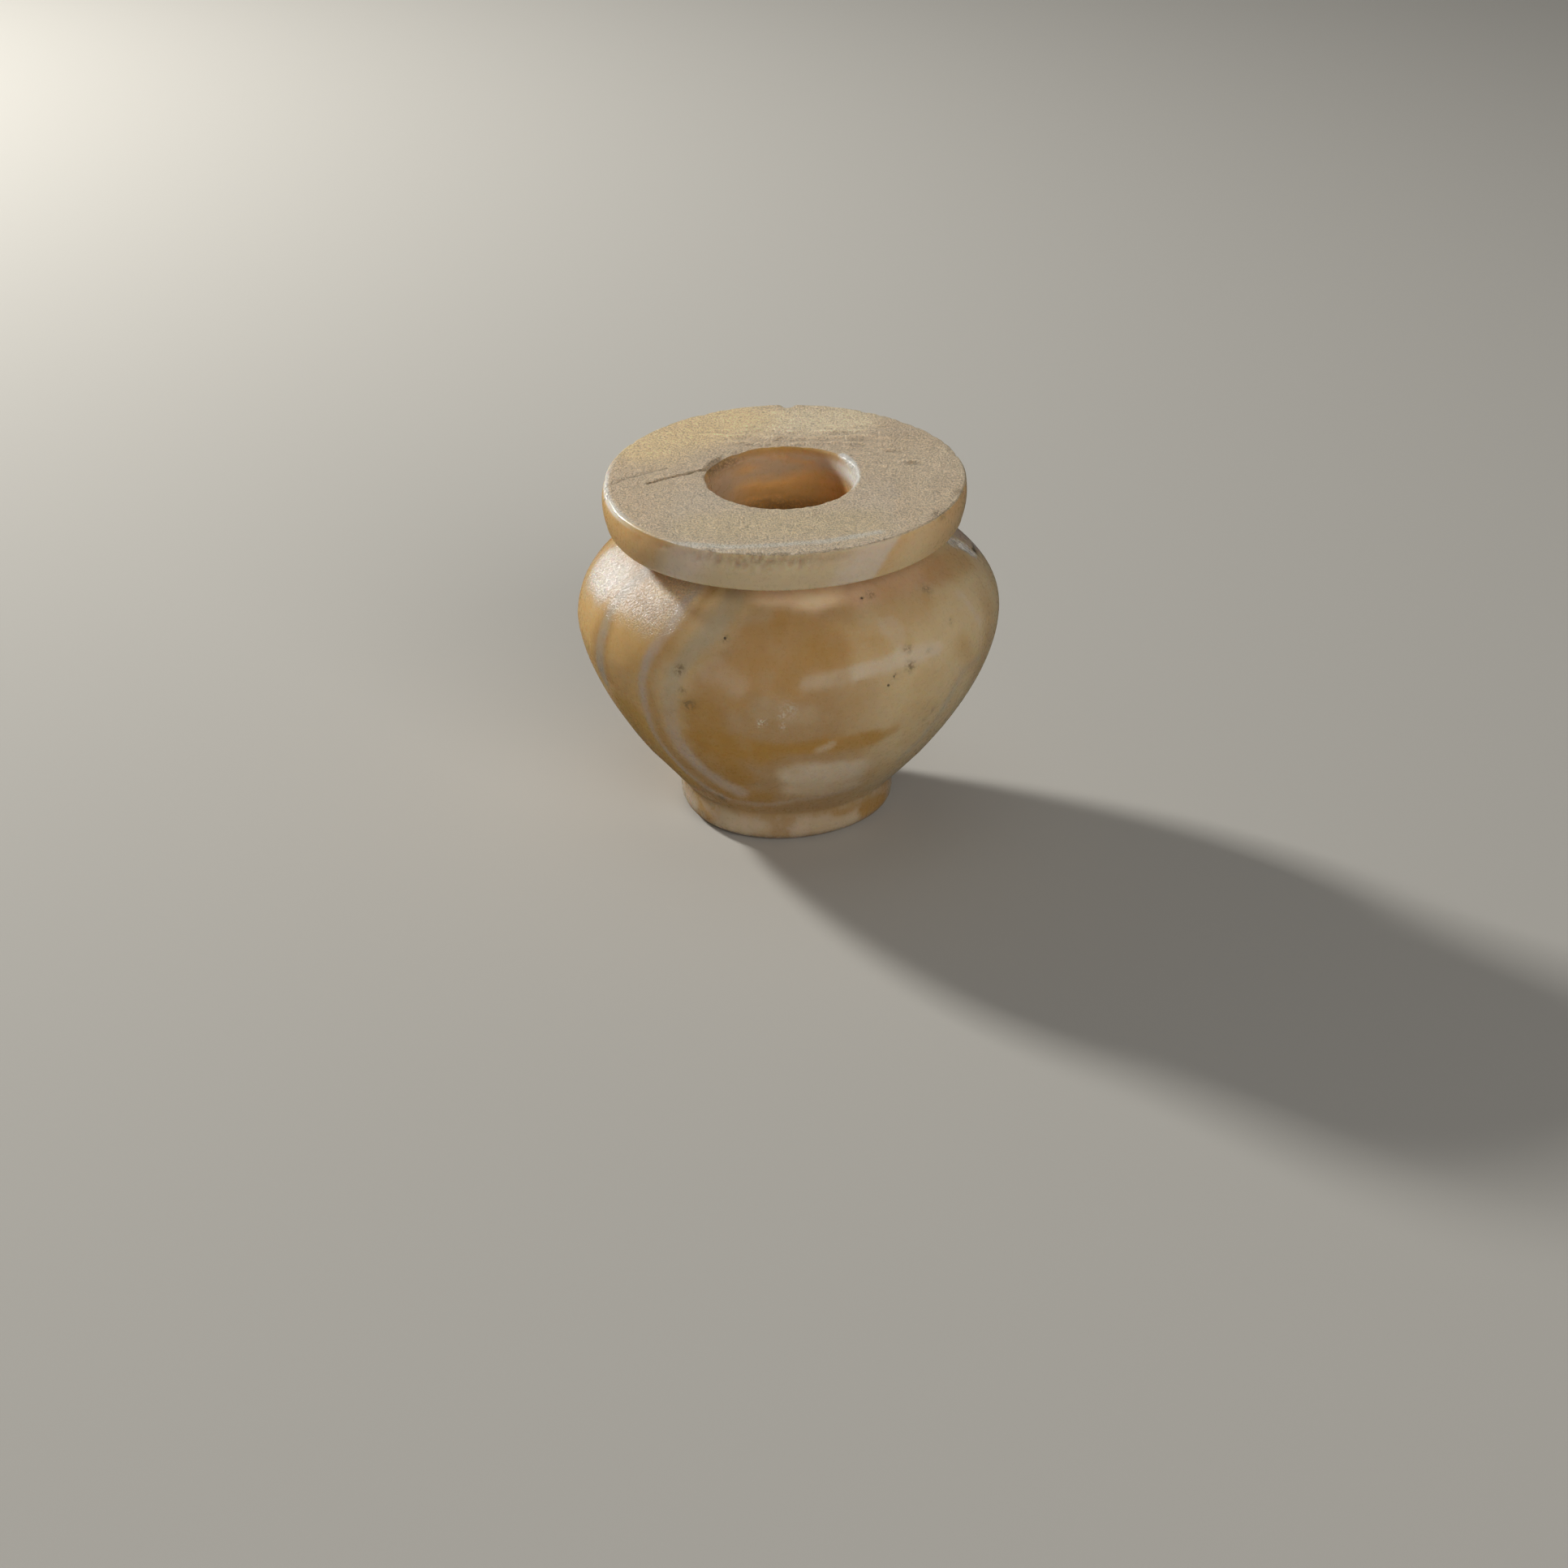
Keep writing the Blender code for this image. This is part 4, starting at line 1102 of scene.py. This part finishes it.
# %% Writing shader maths as Python
class Value:
    """One socket of a material's node tree."""

    def __init__(self, tree, socket=None):
        self.tree = tree
        self.socket = socket

    def make(self, kind, settings=None, inputs=None, output=0):
        """A new node: first its settings, then values or links by socket."""
        node = self.tree.nodes.new(kind)
        for name, setting in (settings or {}).items():
            setattr(node, name, setting)
        for key, given in (inputs or {}).items():
            if isinstance(given, Value):
                self.tree.links.new(given.socket, node.inputs[key])
            else:
                node.inputs[key].default_value = given
        return Value(self.tree, node.outputs[output])

    def maths(self, operation, first, second=0.0, clamp=False):
        settings = {"operation": operation, "use_clamp": clamp}
        return self.make("ShaderNodeMath", settings, {0: first, 1: second})

    def __add__(self, other):
        return self.maths("ADD", self, other)

    def __sub__(self, other):
        return self.maths("SUBTRACT", self, other)

    def __rsub__(self, other):
        return self.maths("SUBTRACT", other, self)

    def __mul__(self, other):
        return self.maths("MULTIPLY", self, other)

    __radd__ = __add__
    __rmul__ = __mul__

    def above(self, low, high):
        """0 where the value is under low and 1 where it is over high, with a smooth step between."""
        inputs = {"Value": self, "From Min": low, "From Max": high}
        return self.make("ShaderNodeMapRange", {"interpolation_type": "SMOOTHSTEP", "clamp": True}, inputs)

    def under(self, low, high):
        """1 where the value is under low and 0 where it is over high."""
        return 1 - self.above(low, high)

    def vector(self, operation, second=(0.0, 0.0, 0.0), output=0):
        inputs = {0: self, 1: second}
        if operation == "SCALE":
            inputs = {0: self, "Scale": second}
        return self.make("ShaderNodeVectorMath", {"operation": operation}, inputs, output)

    def noise(self, size, detail=2.0, roughness=0.5):
        """Noise from about 0 to 1, with lumps of the given size in the units of this vector."""
        inputs = {"Vector": self, "Scale": 1.0 / size, "Detail": detail, "Roughness": roughness}
        return self.make("ShaderNodeTexNoise", inputs=inputs)

    def mixed(self, other, share):
        """This colour, turned into another by a share from 0 to 1."""
        settings = {"data_type": "RGBA", "clamp_factor": True}
        return self.make("ShaderNodeMix", settings, {0: share, 6: self, 7: other}, output=2)

    def away(self, start, end):
        """Distance from this place to the stretch from start to end."""
        run = [b - a for a, b in zip(start, end)]
        length_squared = sum(v * v for v in run)
        offset = self.vector("SUBTRACT", start)
        if length_squared > 0:
            along = offset.vector("DOT_PRODUCT", run, output=1)
            share = along.maths("DIVIDE", along, length_squared, clamp=True)
            toward = share.make("ShaderNodeVectorMath", {"operation": "SCALE"}, {0: run, "Scale": share})
            offset = offset.vector("SUBTRACT", toward)
        return offset.vector("LENGTH", output=1)


print("shader maths ready")

# %% [markdown]
# The finest marks are worked out in the material: a dark line along each crack, scratches that run two
# ways, the specks of the dirt, of the painted shade on the broken lip and of the bruises, and a few pits with
# black floors. A scratch is where a stretched noise passes through its middle value, which makes long thin
# lines.

# %% Fine marks
PIT_BLACK = (0.05, 0.04, 0.03)
CRACKED_ABOVE = (40.0, 40.5)    # the heights in mm between which the cracks' dark lines set in
BLACK_PITS = [
    # start and end in mm, radius
    ((11.6, -20.1, 24.9), (11.6, -20.1, 24.9), 0.22), ((12.2, -19.8, 25.9), (12.2, -19.8, 25.9), 0.16),
    ((8.4, -16.6, 34.0), (8.4, -16.6, 34.0), 0.20), ((-6.8, -20.5, 30.7), (-6.8, -20.5, 30.7), 0.20),
    ((21.8, 2.6, 32.1), (22.0, 0.5, 32.1), 0.55), ((22.0, 0.5, 32.1), (22.3, -1.2, 32.0), 0.22),
]


def crack_lines(exact):
    """1 in the middle of each crack, fading out over its width, on the rim's top alone."""
    wobble = exact.make("ShaderNodeTexNoise", inputs={"Vector": exact, "Scale": 1.6, "Detail": 3.0}, output=1)
    wobble = exact.vector("ADD", wobble.vector("SUBTRACT", (0.5, 0.5, 0.5)).vector("SCALE", 0.55))
    flat = wobble.vector("MULTIPLY", (1.0, 1.0, 0.0))
    lines = 0.0
    for half_width, _, path in CRACKS.values():
        here = [flat.away(start, end) for start, end in zip(path, path[1:])]
        nearest = functools.reduce(lambda a, b: a.maths("MINIMUM", a, b), here)
        lines = nearest.under(0.0, half_width) + lines
    height = exact.make("ShaderNodeSeparateXYZ", inputs={0: exact}, output=2)
    return lines * height.above(*CRACKED_ABOVE)


def scratch_lines(exact, turn, thin=0.016):
    """1 on thin lines: where noise, turned and drawn out along one direction, is within a hair of one
    half."""
    inputs = {"Vector": exact, "Rotation": turn, "Scale": (0.22, 1.6, 1.6)}
    lines = exact.make("ShaderNodeMapping", inputs=inputs).noise(size=1.0, detail=1.0)
    return (lines - 0.5).maths("ABSOLUTE", lines - 0.5).under(thin * 0.3, thin)


def speckled(exact, stone, dirt_and_shade_here, bruised_here):
    """Crushed white, and dirt with painted shade, each broken up by a noise of its own, the cracks' dark
    lines and the black pits."""
    specks = exact.noise(size=0.30, detail=3.0, roughness=0.7).above(0.42, 0.54)
    glints = exact.noise(size=0.26, detail=2.0, roughness=0.6).above(0.44, 0.62)
    stone = stone.mixed((*CRUSHED_AND_HIGHLIGHT_WHITE, 1.0), bruised_here * glints * 0.85)
    # dark specks: dirt, and painted shade on the broken lip
    stone = stone.mixed((*DIRT_AND_SHADE_BROWN, 1.0), dirt_and_shade_here * specks * 0.80)
    stone = stone.mixed((*DIRT_AND_SHADE_BROWN, 1.0), crack_lines(exact) * 0.45)
    for start, end, radius in BLACK_PITS:
        stone = stone.mixed((*PIT_BLACK, 1.0), exact.away(start, end).under(radius * 0.5, radius) * 0.8)
    return stone


# %% [markdown]
# The material is two finishes of one stone. Where the polish is kept, light sinks in and comes out
# softened, and the surface shines a little; where it is gone, the stone is matt and every grain throws its
# shade. A Mix Shader blends them by the mask of worn places. Grain and scratches too fine for the mesh are
# bumps.

# %% Calcite
CALCITE_IOR = 1.6
CLEARNESS = 0.6                            # the share of the light that sinks in
SINK_DEPTH = 4.0 * MM                      # how far it goes
SINK_SHARES = (1.0, 0.55, 0.25)            # of that depth, for red, green and blue
POLISH_LOST = 0.85                         # how much of the polish a fully worn place has lost


def finish(shader, colour, roughness, bump):
    """Links what varies over the stone to a Principled shader."""
    for name, value in (("Base Color", colour), ("Roughness", roughness), ("Normal", bump)):
        shader.id_data.links.new(value.socket, shader.inputs[name])


def bumped(height):
    """A Bump node for a height in mm."""
    return height.make("ShaderNodeBump", inputs={"Height": height * MM, "Strength": 1.0, "Distance": 1.0})


def make_calcite():
    """Builds the node tree and returns the material."""
    material = bpy.data.materials.new("banded_calcite")
    material.use_nodes = True
    tree = material.node_tree
    start = Value(tree)
    exact = start.make("ShaderNodeTexCoord", output=3).vector("SCALE", 1 / MM)
    stone = start.make("ShaderNodeAttribute", {"attribute_name": "stone"})
    worn_here, scratched_here, dirt_and_shade_here, bruised_here = (
        start.make("ShaderNodeAttribute", {"attribute_name": name}, output=2)
        for name in ("worn", "scratched", "dirt_and_painted_shade", "bruised"))
    grain = exact.noise(size=0.25, detail=3.0, roughness=0.7)
    coarse = exact.noise(size=0.60, detail=4.0, roughness=0.75)
    mottle = exact.noise(size=1.6, detail=2.0, roughness=0.5)
    brushed = exact.vector("MULTIPLY", (0.35, 0.35, 3.0)).noise(size=0.7, detail=4.0, roughness=0.7)
    scratch = scratch_lines(exact, (0.3, 0.5, 0.4)) + scratch_lines(exact, (0.2, -0.4, -0.5))
    grained = 0.02 + 2.1 * worn_here + 1.10 * scratched_here
    tone = 1.0 + grained * (grain - 0.5) + 0.07 * (brushed - 0.5) + 0.14 * (mottle - 0.5)
    tone = tone + 0.55 * worn_here * (coarse - 0.5)
    stone = speckled(exact, stone.vector("SCALE", tone), dirt_and_shade_here, bruised_here)

    polish = tree.nodes["Principled BSDF"]
    soft = brushed * 0.004 + coarse * (0.002 + 0.04 * scratched_here)
    soft = soft + grain * (0.001 + 0.10 * scratched_here)
    soft = soft - scratch * (0.030 * scratched_here)
    finish(polish, stone, 0.23 + 0.10 * coarse, bumped(soft))
    polish.inputs["IOR"].default_value = CALCITE_IOR
    polish.inputs["Subsurface Weight"].default_value = CLEARNESS
    polish.inputs["Subsurface Radius"].default_value = SINK_SHARES
    polish.inputs["Subsurface Scale"].default_value = SINK_DEPTH

    matt = tree.nodes.new("ShaderNodeBsdfPrincipled")
    finish(matt, stone, 0.38 + 0.2 * coarse, bumped(grain * 0.42 + coarse * 0.20))
    matt.inputs["IOR"].default_value = CALCITE_IOR
    both = tree.nodes.new("ShaderNodeMixShader")
    tree.links.new((worn_here * POLISH_LOST).socket, both.inputs[0])
    tree.links.new(polish.outputs[0], both.inputs[1])
    tree.links.new(matt.outputs[0], both.inputs[2])
    tree.links.new(both.outputs[0], tree.nodes["Material Output"].inputs["Surface"])
    return material


jar.data.materials.append(make_calcite())
print("nodes:", len(jar.data.materials[0].node_tree.nodes))

# %% [markdown]
# Last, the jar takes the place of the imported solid. It rides on the jar's only body, and its box is written
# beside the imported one's so that the two can be compared.

# %% Hand over
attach(jar, "root")
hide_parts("jar")
boxes = {
    "cad": [list(corner) for corner in cad_box],
    "visual": [list(corner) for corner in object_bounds()],
}
for box_name, corners in boxes.items():
    print(box_name, "box in mm:", [[round(v / MM, 2) for v in corner] for corner in corners])
